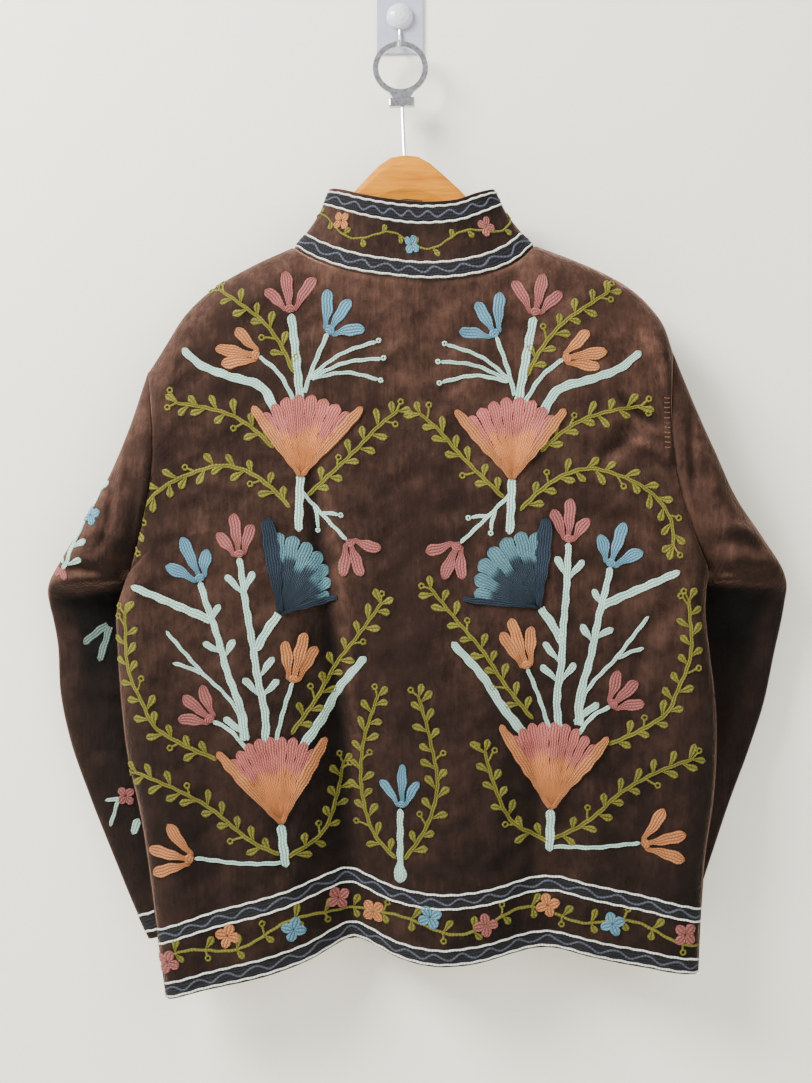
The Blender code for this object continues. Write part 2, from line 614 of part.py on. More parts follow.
def tube(name, points, radius, look, parent=None):
    curve = bpy.data.curves.new(name, "CURVE")
    curve.dimensions = "3D"
    curve.bevel_depth = radius * MM
    curve.bevel_resolution = 2
    curve.use_fill_caps = True
    line = curve.splines.new("POLY")
    line.points.add(len(points) - 1)
    for point, place in zip(line.points, points):
        point.co = (*[c * MM for c in place], 1.0)
    obj = bpy.data.objects.new(name, curve)
    obj.data.materials.append(material(look))
    bpy.context.scene.collection.objects.link(obj)
    obj.parent = parent
    return obj


def build_pin(parent):
    foot = -(RING_INNER + RING_FOOT) - FIT_GAP
    box("clip", CLIP_SIZE, (0, 0, foot - CLIP_SIZE[2] / 2), "steel", CLIP_BEVEL, parent)
    pin_top = foot - CLIP_SIZE[2] - FIT_GAP
    pin_bottom = -WOOD_TOP + WOOD_LIFT + FIT_GAP
    line = [(0, 0, pin_top), (0, 0, (pin_top + pin_bottom) / 2), (0, 0, pin_bottom)]
    tube("pin", line, PIN_RADIUS, "steel", parent)


def build_wall_hook():
    """A stick-on plate, a dome and a wire hook. The plate's back lies on the wall."""
    width, thick, tall = PLATE_SIZE
    box("hook_plate", PLATE_SIZE, (0, -thick / 2, 0), "plastic", PLATE_BEVEL)
    points = []
    for k in range(DOME_RINGS):
        up = math.pi / 2 * k / DOME_RINGS
        for j in range(DOME_AROUND):
            turn = 2 * math.pi * j / DOME_AROUND
            wide = DOME_RADIUS * math.cos(up)
            points.append((wide * math.cos(turn), -thick - FIT_GAP - DOME_HEIGHT * math.sin(up),
                           DOME_Z + wide * math.sin(turn)))
    faces = grid_faces(DOME_RINGS, DOME_AROUND, 0, wrap=True)
    crown = len(points)
    points.append((0, -thick - FIT_GAP - DOME_HEIGHT, DOME_Z))
    last = (DOME_RINGS - 1) * DOME_AROUND
    faces += [(last + j, last + (j + 1) % DOME_AROUND, crown) for j in range(DOME_AROUND)]
    faces.append(tuple(range(DOME_AROUND)))
    add_mesh("hook_dome", points, faces, "plastic")
    tube("hook_wire", spline(WIRE_ROUTE, np.linspace(0, 1, WIRE_STEPS)).tolist(), WIRE_RADIUS, "steel")


def main():
    clear_scene()
    build_back()
    build_front("front_left", SHOULDER_LEFT, NECK_FRONT_LEFT, SLEEVE_LEFT, SIDE_LEFT, HEM_FRONT_LEFT)
    build_front("front_right", SHOULDER_RIGHT, NECK_FRONT_RIGHT, SLEEVE_RIGHT, SIDE_RIGHT, HEM_FRONT_RIGHT)
    build_sleeve("sleeve_left", SLEEVE_LEFT)
    build_sleeve("sleeve_right", SLEEVE_RIGHT)
    build_collar()
    hanging = hanging_frame()
    build_hanger(hanging)
    build_ring(hanging)
    build_pin(hanging)
    build_wall_hook()


main()
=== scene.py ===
"""Looks of a velvet coat on a hanger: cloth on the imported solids, chain-stitch embroidery, hanger and stage.

The frame's axes hold: +Z up, the wall at Y = 0, the coat's back to -Y. Tables are in millimetres.
"""

import math

import bmesh
import bpy
import numpy as np
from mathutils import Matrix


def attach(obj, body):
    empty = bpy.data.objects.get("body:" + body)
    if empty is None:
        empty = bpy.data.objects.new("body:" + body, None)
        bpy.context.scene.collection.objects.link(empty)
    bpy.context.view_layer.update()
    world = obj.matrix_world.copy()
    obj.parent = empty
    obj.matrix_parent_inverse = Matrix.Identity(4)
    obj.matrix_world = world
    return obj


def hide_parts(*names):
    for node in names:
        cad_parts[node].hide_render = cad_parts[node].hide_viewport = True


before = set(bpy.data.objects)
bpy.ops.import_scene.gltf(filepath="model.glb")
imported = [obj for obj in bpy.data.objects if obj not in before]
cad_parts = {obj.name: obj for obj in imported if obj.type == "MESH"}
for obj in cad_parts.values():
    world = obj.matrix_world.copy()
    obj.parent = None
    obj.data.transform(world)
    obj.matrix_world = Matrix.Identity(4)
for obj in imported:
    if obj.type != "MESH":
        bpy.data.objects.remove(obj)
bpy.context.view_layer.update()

bl_info = {
    "name": "Hung velvet coat",
    "version": (1, 0, 0),
    "blender": (4, 5, 0),
    "location": "View3D > Sidebar > Coat",
    "description": "Cloth, embroidery, hanger and stage of a hung velvet coat",
    "category": "Add Mesh",
}

MM = 0.001

# Form of the coat, as in its solids
BACK_DEPTH = -81.0
FRONT_DEPTH = -17.0
TUCK_DEPTH = -47.5
SHOULDER_DEPTH = -47.5
EDGE_ROUND = 40.0
TOP_ROUND = 44.0
CENTRE_X = 18.0
NAPE_SWELL = 5.0
NAPE_Z = -330.0
NAPE_HALF = (120.0, 60.0)
FRONT_EASE = 6.0
FRONT_TURN_LEFT = (66, 138)
FRONT_TURN_RIGHT = (96, 170)
TUCK_BAND = (575, 632)
BACK_HEM_Z = -1000.0
FRONT_HEM_Z = -985.0
FOLD_BEND = 0.8
FOLD_GROWTH = 1.15
FOLD_NARROW = 0.45
FOLD_FALL = 1.3
UNDERARM_V = 0.34
NECK_LEFT_S = 0.281
NECK_RIGHT_S = 0.745
FRONT_NECK_S = 0.555
SLEEVE_SQUARE = 0.8
COLLAR_HOLLOW = 5.0

SHOULDER_LEFT = [(-110, -264), (-152, -283), (-198, -311), (-219, -331), (-237, -358), (-250, -379),
                 (-259, -393)]
SHOULDER_RIGHT = [(140, -262), (180, -277), (216, -293), (238, -306), (258, -324), (270, -340), (282, -373)]
NECK_BACK = [(-110, -47.5, -264), (-106, -58, -267), (-95, -67, -275.5), (-67, -78, -289), (-39, -84, -297),
             (-12, -87, -301), (24, -88, -304.5), (51, -88, -304), (77, -86, -300), (105, -80, -291.5),
             (124, -70, -279.5), (136, -59, -266.5), (140, -47.5, -262)]
NECK_FRONT_LEFT = [(-110, -47.5, -264), (-107, -38, -268), (-98, -28, -280), (-76, -21, -303),
                   (-40, -17, -330), (15, -16, -345)]
NECK_FRONT_RIGHT = [(140, -47.5, -262), (137, -38, -266), (128, -28, -278), (107, -21, -302),
                    (72, -17, -330), (21, -16, -345)]
COLLAR_BACK = [(-73, -48, -203.5), (-69, -57, -205), (-59, -65, -208), (-40, -72, -214), (-18, -76, -219),
               (6, -77.5, -222.5), (33, -78, -223.5), (60, -76, -220.5), (78, -70, -213), (90, -62, -208),
               (97, -56, -205.5), (99, -48, -204.5)]
COLLAR_FRONT_LEFT = [(-73, -48, -203.5), (-70, -40, -207), (-61, -32, -216), (-42, -26, -235),
                     (-15, -22, -258), (15, -21, -272)]
COLLAR_FRONT_RIGHT = [(99, -48, -204.5), (97, -40, -207), (89, -32, -216), (72, -26, -235), (48, -22, -258),
                      (21, -21, -272)]
SIDE_LEFT = [(-277, -50, -598), (-281, -50, -604), (-284, -50, -612), (-292, -50, -640), (-291, -51, -674),
             (-287, -52, -732), (-279, -54, -794), (-268, -56, -840), (-259, -57, -892), (-251, -59, -950),
             (-239, -62, -1034)]
SIDE_RIGHT = [(318, -50, -598), (319, -50, -604), (317.5, -50, -612), (316, -50, -636), (321, -51, -690),
              (326, -52, -732), (327, -53, -784), (323, -55, -836), (315, -57, -887), (310, -59, -940),
              (306, -62, -1008)]
HEM_BACK = [(-239, -1034), (-190, -1021), (-120, -1009), (0, -1004), (150, -1001), (240, -1002),
            (306, -1008)]
HEM_FRONT_LEFT = [(-239, -1034), (-150, -1004), (-60, -984), (15, -981)]
HEM_FRONT_RIGHT = [(306, -1008), (220, -990), (120, -981), (21, -981)]
BACK_FOLDS = [
    {"x_top": -92, "z_top": -455, "x_hem": -47, "width": 44, "depth": 47, "lift": 25, "sharp": 7},
    {"x_top": 152, "z_top": -700, "x_hem": 147, "width": 52, "depth": 27, "lift": 17, "sharp": 16},
    {"x_top": -200, "z_top": -440, "x_hem": -190, "width": 26, "depth": 5, "lift": 0, "sharp": 10},
    {"x_top": 232, "z_top": -500, "x_hem": 236, "width": 30, "depth": 7, "lift": 0, "sharp": 12},
    {"x_top": 40, "z_top": -620, "x_hem": 60, "width": 46, "depth": -5, "lift": 0, "sharp": 20},
]
FRONT_FOLDS = [
    {"x_top": -70, "z_top": -420, "x_hem": -58, "width": 34, "depth": -9, "lift": 0, "sharp": 12},
    {"x_top": 110, "z_top": -460, "x_hem": 96, "width": 32, "depth": -8, "lift": 0, "sharp": 12},
]
# Sleeve rings: outer x, z; inner x, z; Y of the edges, of the room side and of the wall side; bow
SLEEVE_LEFT = [
    (-259, -393, -277, -598, -49, -81, -20, 17),
    (-279, -453, -279.5, -599, -48, -83, -17, 8),
    (-299, -500, -281.5, -600.5, -46, -84, -14, 2),
    (-322, -542, -283, -602.5, -45, -84, -12, 0),
    (-347, -583, -284, -605, -43, -82, -10, 0),
    (-361, -606, -284, -608, -41, -74, -9, 0),
    (-366, -620, -281.5, -612.2, -37, -55, -8, 0),
    (-366, -632, -271.5, -617, -31, -44, -8, 0),
    (-363, -650, -252, -628, -26, -40, -8, 0),
    (-359, -675, -234, -655, -24, -40, -8, 0),
    (-356, -727, -211, -690, -24, -40, -8, 0),
    (-346, -775, -198, -730, -24, -40, -8, 0),
    (-326, -833, -181, -784, -24, -40, -8, 0),
    (-303, -891, -166, -845, -24, -40, -8, 0),
    (-281, -945, -153, -901, -24, -40, -8, 0),
    (-264, -984, -144, -941, -24, -40, -8, 0),
]
SLEEVE_RIGHT = [
    (282, -373, 318, -598, -49, -81, -20, 20),
    (301, -420, 320, -599.2, -48, -83, -17, 12),
    (323, -470, 321.3, -600.8, -46, -84, -14, 4),
    (347, -522, 322.4, -602.8, -45, -84, -12, 0),
    (374, -562, 323, -605.2, -43, -82, -10, 0),
    (397, -597, 322.3, -608, -41, -74, -9, 0),
    (403, -614, 318.6, -612, -37, -55, -8, 0),
    (403, -628, 308.6, -617, -31, -44, -8, 0),
    (401, -648, 289.6, -627.5, -26, -40, -8, 0),
    (394, -682, 268, -655, -24, -40, -8, 0),
    (383, -735, 247, -696, -24, -40, -8, 0),
    (366, -788, 229, -744, -24, -40, -8, 0),
    (346, -842, 209, -797, -24, -40, -8, 0),
    (328, -896, 193, -853, -24, -40, -8, 0),
    (311, -948, 181, -905, -24, -40, -8, 0),
    (299, -984, 174, -945, -24, -40, -8, 0),
]

# Creases: width, depth, then the path of x, z. A positive depth is a trough and a negative one a ridge.
BACK_CREASES = [
    (8, 5.5, (-97, -455), (-84, -545), (-74, -630), (-64, -740), (-52, -930)),
    (9, -3.6, (-78, -455), (-64, -545), (-53, -630), (-44, -740), (-34, -900)),
    (9, 3.4, (134, -700), (137, -800), (136, -950)),
    (9, -2.6, (152, -690), (156, -800), (154, -940)),
    (8, 6.5, (202, -484), (222, -470), (242, -455)),
    (7, 6.0, (218, -420), (250, -443), (273, -451)),
    (8, -5.0, (226, -459), (252, -472), (278, -488)),
    (12, -3.4, (210, -352), (236, -374), (262, -404)),
    (16, -2.6, (150, -320), (190, -350), (232, -372)),
    (11, 3.4, (180, -540), (225, -545), (285, -575)),
    (10, 3.4, (-245, -470), (-215, -505), (-205, -560)),
    (14, -2.6, (-225, -395), (-190, -420), (-170, -470)),
    (11, 3.4, (-270, -610), (-225, -640), (-195, -700)),
    (15, -3.0, (-180, -600), (-165, -700), (-150, -820)),
    (18, 2.4, (-20, -430), (-8, -560), (-10, -700)),
    (16, -2.2, (85, -430), (95, -560), (80, -700)),
    (12, 3.8, (300, -620), (262, -650), (240, -720)),
    (13, -3.0, (-70, -700), (-95, -800), (-105, -930)),
    (11, -2.8, (190, -760), (198, -850), (188, -960)),
    (12, -2.6, (102, -780), (96, -870), (108, -970)),
    (12, 1.8, (-150, -330), (-120, -350), (-60, -345)),
    (12, 1.8, (60, -350), (110, -358), (160, -345)),
]
# Painted shadows and painted highlights beside the folds: width, share taken off or added, then the path
PAINTED_FOLD_SHADOWS = [
    (8, 0.85, (-100, -455), (-86, -545), (-74, -630), (-62, -740), (-53, -860), (-47, -955)),
    (8, 0.4, (137, -700), (140, -800), (139, -960)),
    (4.5, 0.75, (200, -485), (221, -471), (243, -455)),
    (4.5, 0.75, (216, -418), (250, -443), (273, -451)),
]
PAINTED_FOLD_HIGHLIGHTS = [
    (6, 0.7, (-84, -455), (-69, -545), (-57, -630), (-46, -740), (-37, -860), (-33, -950)),
    (8, 0.35, (153, -700), (156, -800), (155, -960)),
    (5, 1.1, (226, -459), (252, -472), (278, -488)),
    (9, 0.8, (232, -335), (256, -372), (266, -412)),
    (4.5, 0.9, (206, -477), (226, -461), (243, -448)),
]
FRONT_LEFT_CREASES = [
    (13, 3.0, (-235, -430), (-200, -480), (-190, -560)),
    (16, -2.4, (-150, -340), (-130, -460), (-125, -600)),
    (14, 2.6, (-230, -640), (-190, -720), (-175, -860)),
    (15, -2.2, (-40, -560), (-30, -720), (-34, -900)),
]
FRONT_RIGHT_CREASES = [
    (12, 3.2, (255, -420), (225, -470), (215, -550)),
    (17, -2.2, (170, -350), (150, -470), (148, -610)),
    (13, 2.8, (270, -650), (225, -740), (205, -880)),
    (14, -2.0, (60, -600), (55, -760), (64, -920)),
]
SLEEVE_LEFT_CREASES = [
    (5, 5.5, (-294, -486), (-292, -515), (-294, -560)),
    (5, -3.4, (-285, -462), (-281, -480), (-284, -520)),
    (7, 8.0, (-358, -600), (-322, -596), (-285, -602)),
    (9, -4.6, (-345, -566), (-325, -548), (-300, -566)),
    (8, 3.2, (-350, -640), (-325, -665), (-290, -672)),
    (9, -3.0, (-345, -700), (-310, -722), (-270, -720)),
    (9, 2.6, (-330, -790), (-290, -790), (-250, -810)),
    (13, -2.4, (-300, -720), (-285, -800), (-255, -900)),
]
SLEEVE_RIGHT_CREASES = [
    (5, 5.0, (298, -430), (297, -470), (299, -512)),
    (7, -6.5, (326, -550), (350, -556), (374, -566)),
    (7, 3.4, (322, -566), (348, -572), (372, -582)),
    (7, 8.0, (308, -594), (350, -600), (398, -596)),
    (8, 3.6, (330, -500), (343, -525), (350, -548)),
    (9, -3.0, (316, -450), (330, -476), (340, -500)),
    (8, 3.4, (385, -640), (350, -662), (310, -668)),
    (10, -3.2, (375, -710), (335, -716), (290, -742)),
    (9, 2.8, (350, -800), (310, -800), (260, -830)),
    (12, -2.4, (360, -700), (330, -800), (290, -910)),
]

SLEEVES = {"left": (SLEEVE_LEFT, SLEEVE_LEFT_CREASES), "right": (SLEEVE_RIGHT, SLEEVE_RIGHT_CREASES)}

CLOTH_THICK = 1.8
SEAM_WIDTH = 3.5
PHOTO_SCALE = 1.01      # millimetres of the back to a unit of the plant tables
CREASE_STEP = 4.5       # millimetres between the samples of a crease's path
CREASE_SAMPLES = 24     # and at least this many
HEAD_SWELL = 1.6        # the sleeve's head stands this proud
HEAD_FROM_SEAM = 16
HEAD_HALF = 10
SEAM_THICK = 0.5        # a sheet thins to this at a sewn edge
SEAM_RUN = 9.0          # and has its whole thickness this far from it
# Painted light and shade: the cloth is lighter where it faces this way, up and left towards the key light, and
# darker facing away
PAINTED_LIGHT_WAY = (-0.5, 0.0, 0.85)
PAINTED_LIGHT_GAIN = 1.7
PAINTED_LIGHT_RANGE = (0.38, 1.9)
INSIDE_TONE = 0.7
GIRTH = 2.1             # a sleeve's way round, as a multiple of its width
# Shallow waves in the cloth: length, turn in radians, height
WAVES = [(47, 0.2, 0.42), (63, 1.1, 0.5), (38, 2.0, 0.34), (29, 2.7, 0.24), (82, 0.6, 0.6), (21, 1.6, 0.16)]


def spline(table, share):
    """Points at shares of the way along a cubic through the table's rows, spaced by the rows' distances."""
    rows = np.array(table, float)
    steps = np.linalg.norm(np.diff(rows, axis=0), axis=1)
    knots = np.concatenate([[0.0], np.cumsum(steps)]) / steps.sum()
    slopes = np.gradient(rows, knots, axis=0)
    share = np.clip(np.asarray(share, float), 0.0, 1.0)
    k = np.clip(np.searchsorted(knots, share, side="right") - 1, 0, len(knots) - 2)
    span = (knots[k + 1] - knots[k])[..., None]
    t = (share - knots[k])[..., None] / span
    return ((2 * t**3 - 3 * t**2 + 1) * rows[k] + (t**3 - 2 * t**2 + t) * span * slopes[k]
            + (3 * t**2 - 2 * t**3) * rows[k + 1] + (t**3 - t**2) * span * slopes[k + 1])


def smooth(x, low, high):
    """0 at low and 1 at high: three t squared less two t cubed."""
    t = np.clip((x - low) / (high - low), 0.0, 1.0)
    return t * t * (3 - 2 * t)


def quarter_round(distance, width):
    """1 at an edge, falling to 0 at width from it along a quarter of an ellipse."""
    t = np.clip(1 - distance / width, 0.0, 1.0)
    return 1 - np.sqrt(np.clip(1 - t * t, 0.0, 1.0))


def unit(vectors):
    """Each vector over its own length."""
    return vectors / np.maximum(np.linalg.norm(vectors, axis=-1, keepdims=True), 1e-9)


def bell(x, z, centre, half):
    """1 at the centre, falling like a bell over each half width."""
    return np.exp(-(((x - centre[0]) / half[0]) ** 2) - ((z - centre[1]) / half[1]) ** 2)


def fold_share(fold, x, z, hem_z):
    """How far a fold reaches: a power of the way down, times a bell across the fold's line."""
    down = np.clip((fold["z_top"] - z) / (fold["z_top"] - hem_z), 0.0, 1.0)
    middle = fold["x_top"] + (fold["x_hem"] - fold["x_top"]) * down**FOLD_BEND
    width = fold["width"] * (FOLD_NARROW + (1 - FOLD_NARROW) * down)
    off = np.sqrt((x - middle) ** 2 + fold["sharp"] ** 2) - fold["sharp"]
    return down**FOLD_GROWTH * np.exp(-((off / width) ** FOLD_FALL))


def creased(x, z, creases):
    """Sum over creases of depth, times a sine along the path, times a bell of the distance from the path."""
    total = np.zeros(np.shape(x))
    for width, depth, *table in creases:
        steps = max(CREASE_SAMPLES, int(lengths(np.array(table, float))[-1] / CREASE_STEP))
        path = spline(table, np.linspace(0, 1, steps + 1))
        gap = np.hypot(x[..., None] - path[:, 0], z[..., None] - path[:, 1])
        along = gap.argmin(-1) / steps
        fade = np.sin(math.pi * along) ** 0.7
        total += depth * fade * np.exp(-((gap.min(-1) / width) ** 2))
    return total


def rumple(x, z):
    """Sum of sines of six directions and lengths, each bent by another, as of cloth drawn in by sewing."""
    total = np.zeros(np.shape(x))
    for number, (size, turn, high) in enumerate(WAVES):
        way = x * math.cos(turn) + z * math.sin(turn)
        bend = 9 * np.sin((x * math.sin(turn) - z * math.cos(turn)) / (size * 0.55) + number)
        total += high * np.sin(2 * math.pi * (way + bend) / size + 2.1 * number)
    return total


def lifted_hem(table, share, folds):
    """The hem's spline, raised by each fold's lift times the fold's reach there."""
    line = spline(table, share)
    for fold in folds:
        line[..., 1] += fold["lift"] * fold_share(fold, line[..., 0], line[..., 1], line[..., 1])
    return line


def sleeve_ring(rings, along, angle):
    """A flattened ellipse between a sleeve's two edges, bowed in the middle. Angle 0 is the outer edge."""
    row = spline(rings, along)
    outer, inner = row[..., 0:2], row[..., 2:4]
    edge_y, room_y, wall_y, bow = (row[..., k] for k in (4, 5, 6, 7))
    across = (outer - inner) / 2
    inward = np.stack([-across[..., 1], across[..., 0]], axis=-1)
    inward = unit(inward) * (-1.0 if rings[0][0] < 0 else 1.0)
    cos, sin = np.cos(angle), np.sin(angle)
    flat = np.sign(sin) * np.abs(sin) ** SLEEVE_SQUARE
    xz = (outer + inner) / 2 + across * cos[..., None] + inward * (bow * sin**2)[..., None]
    y = edge_y + np.where(flat > 0, (room_y - edge_y) * flat, (edge_y - wall_y) * flat)
    return np.stack([xz[..., 0], y, xz[..., 1]], axis=-1)


def side_edge(rings, seam, v, face):
    """Half the armhole's ring down to the underarm, then the side seam's spline. Face is 1 at the back."""
    arm = np.arccos(np.clip(1 - 2 * v / UNDERARM_V, -1.0, 1.0))
    upper = sleeve_ring(rings, np.zeros(np.shape(v)), face * arm)
    lower = spline(seam, (v - UNDERARM_V) / (1 - UNDERARM_V))
    return np.where((v <= UNDERARM_V)[..., None], upper, lower)


def shoulder(table, from_tip):
    """The shoulder's spline from its tip to the neck, at one depth."""
    xz = spline(table, 1 - from_tip)
    return np.stack([xz[..., 0], np.full(np.shape(from_tip), SHOULDER_DEPTH), xz[..., 1]], axis=-1)


class Cloth:
    """A sheet as a function of two shares, s across and v down. Face is the outside's sign.

    Each kind of sheet has points, find, which turns its own measures into shares, and nap_and_painted_light,
    the pile's tone with painted light and shade.
    """

    face = 1.0
    seam_depth = 1.1

    def normals(self, s, v):
        """Cross product of the two directions, each from points a small step to both sides."""
        step = 0.002
        along = self.points(np.clip(s + step, 0, 1), v) - self.points(np.clip(s - step, 0, 1), v)
        down = self.points(s, np.clip(v + step, 0, 1)) - self.points(s, np.clip(v - step, 0, 1))
        return unit(np.cross(down, along)) * self.face

    def valley(self, distance):
        """The groove of a seam: a bell of the distance from it."""
        return self.seam_depth * np.exp(-((distance / SEAM_WIDTH) ** 2))


class BodyPanel(Cloth):
    """A patch between four edges in x and z. Its depth eases into the edges' own, less the corners."""

    GUESS_TOP, GUESS_FALL = -290.0, 730.0   # heights from which find starts

    def __init__(self, top, hem, left, right, depth, face=1.0, sewn_right=True):
        self.top, self.hem, self.left, self.right = top, hem, left, right
        self.depth, self.face, self.sewn_right = depth, face, sewn_right
        ends = np.array([0.0, 1.0])
        self.top_ends, self.hem_ends = self.top(ends), self.hem(ends)

    def flat(self, s, v):
        """Coons patch in x and z: both pairs of edges blended, less the blend of the corners."""
        s, v = s[..., None], v[..., None]
        plane = [0, 2]
        corners = ((1 - s) * (1 - v) * self.top_ends[0, plane] + s * (1 - v) * self.top_ends[1, plane]
                   + (1 - s) * v * self.hem_ends[0] + s * v * self.hem_ends[1])
        left, right = self.left(v[..., 0])[..., plane], self.right(v[..., 0])[..., plane]
        return ((1 - v) * self.top(s[..., 0])[..., plane] + v * self.hem(s[..., 0])
                + (1 - s) * left + s * right - corners)

    def points(self, s, v):
        """The depth at x, z, eased by quarter rounds to each sewn edge's own depth, with a groove there."""
        s, v = np.broadcast_arrays(s, v)
        xz = self.flat(s, v)
        top, left, right = self.top(s), self.left(v), self.right(v)
        y = self.depth(xz[..., 0], xz[..., 1])
        from_top = np.linalg.norm(xz - top[..., [0, 2]], axis=-1)
        from_left = np.linalg.norm(xz - left[..., [0, 2]], axis=-1)
        from_right = np.linalg.norm(xz - right[..., [0, 2]], axis=-1)
        at_left = quarter_round(from_left, EDGE_ROUND)
        at_right = quarter_round(from_right, EDGE_ROUND) if self.sewn_right else np.zeros(y.shape)
        at_top = quarter_round(from_top, TOP_ROUND)
        corner = at_top * (at_left * (self.top_ends[0, 1] - y) + at_right * (self.top_ends[1, 1] - y))
        sides = y + at_left * (left[..., 1] - y) + at_right * (right[..., 1] - y)
        y = sides + at_top * (top[..., 1] - y) - corner
        inward = 1.0 if self.depth is back_depth else -1.0
        seam = np.maximum(self.valley(from_left), self.valley(from_top))
        if self.sewn_right:
            seam = np.maximum(seam, self.valley(from_right))
        return np.stack([xz[..., 0], y + inward * seam, xz[..., 1]], axis=-1)

    def nap_and_painted_light(self, s, v, points):
        """Painted light and shade: lighter across the shoulders, most on the right one; darker low down;
        painted shadows and highlights beside its folds.
        """
        x, z = points[..., 0], points[..., 2]
        yoke = bell(x, z, (50, -330), (220, 110))
        right_shoulder = bell(x, z, (228, -372), (50, 60))
        low = smooth(-z, 600, 820)
        plain = 0.6 + 0.46 * yoke + 0.42 * right_shoulder - 0.28 * low
        return plain * (1 - creased(x, z, PAINTED_FOLD_SHADOWS)) * (1 + creased(x, z, PAINTED_FOLD_HIGHLIGHTS))

    def find(self, x, z):
        """Newton's method on x and z, from a straight guess between the patch's corners."""
        low = self.flat(np.array([0.0, 1.0]), np.array([0.5, 0.5]))
        s = np.clip((x - low[0, 0]) / (low[1, 0] - low[0, 0]), 0.02, 0.98)
        v = np.clip((self.GUESS_TOP - z) / self.GUESS_FALL, 0.02, 0.98)
        target = np.stack([x, z], axis=-1)
        step = 1e-4
        for _ in range(9):
            here = self.flat(s, v)
            by_s = (self.flat(s + step, v) - here) / step
            by_v = (self.flat(s, v + step) - here) / step
            miss = target - here
            area = by_s[..., 0] * by_v[..., 1] - by_s[..., 1] * by_v[..., 0]
            area = np.where(np.abs(area) < 1e-6, 1e-6, area)
            move_s = (miss[..., 0] * by_v[..., 1] - miss[..., 1] * by_v[..., 0]) / area
            move_v = (by_s[..., 0] * miss[..., 1] - by_s[..., 1] * miss[..., 0]) / area
            s = np.clip(s + np.clip(move_s, -0.2, 0.2), 0.0, 0.999)
            v = np.clip(v + np.clip(move_v, -0.2, 0.2), 0.0, 0.999)
        return s, v


class Sleeve(Cloth):
    """Rings from the armhole to the cuff. s goes once round from the outer edge, v down."""

    def __init__(self, rings, creases):
        self.rings, self.creases = rings, creases
        self.face = 1.0 if rings[0][0] < 0 else -1.0
        edges = np.array(rings)[:, :4]
        middle = (edges[:, :2] + edges[:, 2:]) / 2
        self.length = np.linalg.norm(np.diff(middle, axis=0), axis=1).sum()

    def points(self, s, v):
        """Rings with creases, waves, the seam's groove and the head's swell, across the sleeve's depth."""
        s, v = np.broadcast_arrays(s, v)
        angle = 2 * math.pi * s
        out = sleeve_ring(self.rings, v, angle)
        sin = np.sin(angle)
        mark = creased(out[..., 0], out[..., 2], self.creases) + rumple(out[..., 0], out[..., 2])
        from_seam = v * self.length
        swell = np.exp(-(((from_seam - HEAD_FROM_SEAM) / HEAD_HALF) ** 2))
        head = HEAD_SWELL * swell * (1 - self.underarm(angle))
        out[..., 1] += (mark + self.valley(from_seam) - head) * sin
        return out

    def underarm(self, angle):
        """1 under the arm and 0 from there to the outer edge."""
        return smooth(-np.cos(angle), 0.2, 0.9)

    def find(self, x, z):
        """The first ring down the sleeve whose span, from outer to inner edge, holds the point."""
        shares = np.linspace(0, 1, 400)
        row = spline(self.rings, shares)
        target = np.stack([x, z], axis=-1)[:, None]
        run = row[:, 2:4] - row[:, 0:2]
        miss = target - row[:, 0:2]
        side = run[:, 0] * miss[..., 1] - run[:, 1] * miss[..., 0]
        share = np.sum(miss * run, axis=-1) / np.sum(run * run, axis=-1)
        within = (share > -0.06) & (share < 1.06)
        crossed = (np.sign(side[:, 1:]) != np.sign(side[:, :-1])) & within[:, 1:]
        nearest = np.where(within, np.abs(side), np.inf).argmin(axis=1)
        at = np.clip(np.where(crossed.any(axis=1), crossed.argmax(axis=1), nearest), 0, len(shares) - 2)
        here = np.arange(len(at))
        before, after = side[here, at], side[here, at + 1]
        part = np.clip(before / np.where(before == after, 1.0, before - after), 0, 1)
        v = shares[at] + (shares[1] - shares[0]) * part
        share = share[here, at] + (share[here, at + 1] - share[here, at]) * part
        return np.arccos(np.clip(1 - 2 * share, -0.998, 0.998)) / (2 * math.pi), v

    def nap_and_painted_light(self, s, v, points):
        """Painted shade: darker below the elbow's fold, and most in its hollow beside the body."""
        across = (1 - np.cos(2 * math.pi * s)) / 2
        room = smooth(np.sin(2 * math.pi * s), 0.0, 0.35)
        below = smooth(v, 0.342, 0.354) * room
        hollow = smooth(across, 0.13, 0.27) * (1 - smooth(v, 0.46, 0.58))
        return 0.72 - below * (0.38 + 0.16 * smooth(across, 0.05, 0.3) + 0.16 * hollow)


class Cuff(Sleeve):
    """The sleeve again, found by millimetres round it and up from its end."""

    def find(self, round_mm, up_mm):
        """The way round over the girth there, and the way up over the sleeve's length."""
        v = np.clip(1 - up_mm / self.length, 0.0, 0.999)
        row = spline(self.rings, v)
        girth = GIRTH * np.linalg.norm(row[..., 0:2] - row[..., 2:4], axis=-1)
        return np.mod(round_mm / girth, 1.0), v


